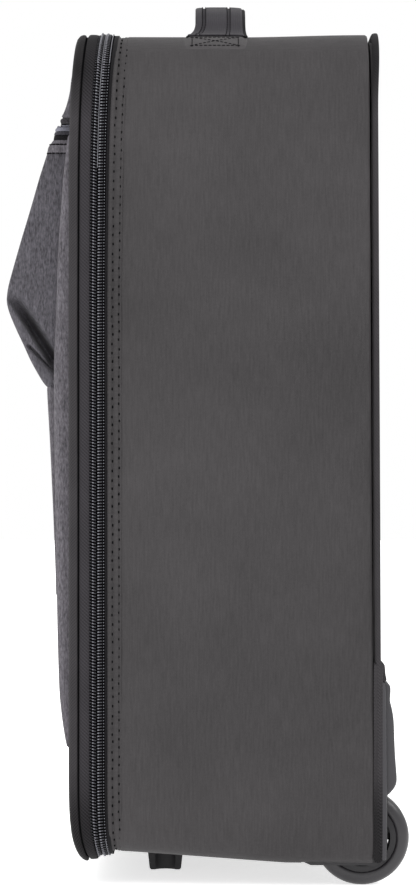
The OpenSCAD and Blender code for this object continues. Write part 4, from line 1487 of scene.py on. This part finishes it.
def make_sliders(materials):
    top_y = ZIP_Y + float(lean_back(ZIP_Y, TOP_Z))
    front = (ZIP_ACROSS, ZIP_UP)
    level = ((0, 1, 0), (0, 0, 1))
    spots = (
        ("main_{}_right", (8, top_y, TOP_Z), 1, level, 9, 7),
        ("main_{}_left", (-8, top_y, TOP_Z), -1, level, 9, 7),
        ("laptop_{}", (-142, *LAPTOP_ZIP), 1, front, 6.2, 5),
        ("pocket_{}", (-134, *POCKET_ZIP), 1, front, 6.2, 5),
    )
    for name, origin, sign, (across, up), slider_w, puller_w in spots:
        row = [np.array([v], float) for v in (origin, (sign, 0, 0), across, up)]
        parts = (("slider", slider_shape(slider_w), "slider_metal"),
                 ("puller", puller_shape(puller_w, slider_w / 2 - 1.8), "puller_metal"))
        for kind, shape, slot in parts:
            node = name.format(kind)
            piece = repeat(node + "_look", shape, row, materials[kind])
            place(piece, node, slot, (node,))


# ---- putting it together ----


def finish_nodes(names, material):
    """Gives CAD nodes that stay in view a procedural material."""
    for name in names:
        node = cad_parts[name]
        node.data.materials.clear()
        node.data.materials.append(material)


def make_materials():
    return {
        "side": smooth_fabric("side_polyester", linear(57, 55, 56)),
        # The patch material is the side fabric made lighter: painted light.
        "patch": smooth_fabric("patch_polyester_painted_light", linear(66, 64, 65)),
        "strip": smooth_fabric("seam_polyester", linear(55, 53, 54)),
        "dark": moulded("seam_shadow", linear(14, 14, 15), 0.95, shine=0.0),
        "melange": melange("melange_light", linear(95, 92, 97)),
        "pocket": melange("melange_pocket", linear(80, 78, 83)),
        # satin_trim is light grey-violet cloth whose pale colour also carries a painted sheen
        # highlight.
        "satin": melange("satin_trim", linear(122, 122, 132), 0.15),
        "ribbed": melange("ribbed_trim", linear(62, 61, 66), 0.2),
        # The last figure of each twill sets the strength of its painted corner shade.
        "twill": twill("twill_edge", linear(51, 49, 51), 2.1, 0.36, 0.65),
        "twill_band": twill("twill_band", linear(47, 45, 48), 2.3, 0.34, 0.6),
        "webbing": webbing("strap_webbing", linear(50, 48, 52)),
        "thread": moulded("strap_thread", linear(22, 21, 23), 0.8, shine=0.05),
        "tape": twill("zip_tape", linear(23, 22, 24), 0.8, 0.15),
        # coil_nylon is a lightened copy of the nylon for painted highlight, and coil_shade a
        # darkened one for painted shade on the coils' low parts.
        "coil": moulded("coil_nylon", linear(112, 112, 118), 0.35, 0.01, 0.5),
        "coil_low": moulded("coil_shade", linear(66, 66, 70), 0.5, 0.01, 0.25),
        "lining": smooth_fabric("lining_cloth", linear(60, 60, 66)),
        "guard": moulded("guard_plastic", linear(54, 53, 56), 0.42),
        "housing": moulded("housing_plastic", linear(46, 45, 47), 0.5),
        "black": moulded("black_plastic", linear(40, 39, 41), 0.5),
        "board": moulded("board_plastic", linear(38, 38, 40), 0.7),
        "rim": moulded("rim_plastic", linear(43, 42, 44), 0.5),
        "tyre": moulded("tyre_rubber", linear(35, 33, 36), 0.4, 0.012, 0.5),
        "aluminium": metal("tube_aluminium", (0.3, 0.31, 0.33), 0.36),
        "steel": metal("steel", (0.34, 0.34, 0.36), 0.38, (60, 60, 60)),
        "slider": metal("slider_metal", (0.2, 0.2, 0.21), 0.4, (60, 60, 60)),
        "puller": metal("puller_metal", (0.16, 0.16, 0.17), 0.42, (60, 60, 60)),
    }


# CAD nodes that stay in view, by their material.
KEPT_NODES = {
    "board": ["base_board", "back_board"],
    "steel": ["screws", "axles", "bush_right", "bush_left", "button_spring"],
    "black": ["wire_frames", "door_wire", "handle_cup", "tube_collars", "bottom_bracket",
              "foot_bar", "mid_collars", "grip"],
    "housing": ["wheel_housing_right", "wheel_housing_left"],
    "guard": ["grip_button"],
    "aluminium": ["outer_tubes", "mid_tubes", "inner_tubes"],
    "rim": ["rim_right", "rim_left"],
}


def main():
    make_camera()
    make_stage()
    materials = make_materials()
    for make in (make_shell, make_seam_strip, make_main_zip, make_back, make_door_frame,
                 make_hinge, make_front, make_front_zips, make_handle, make_corners,
                 make_sliders, make_inside):
        make(materials)
    for key, names in KEPT_NODES.items():
        finish_nodes(names, materials[key])


main()
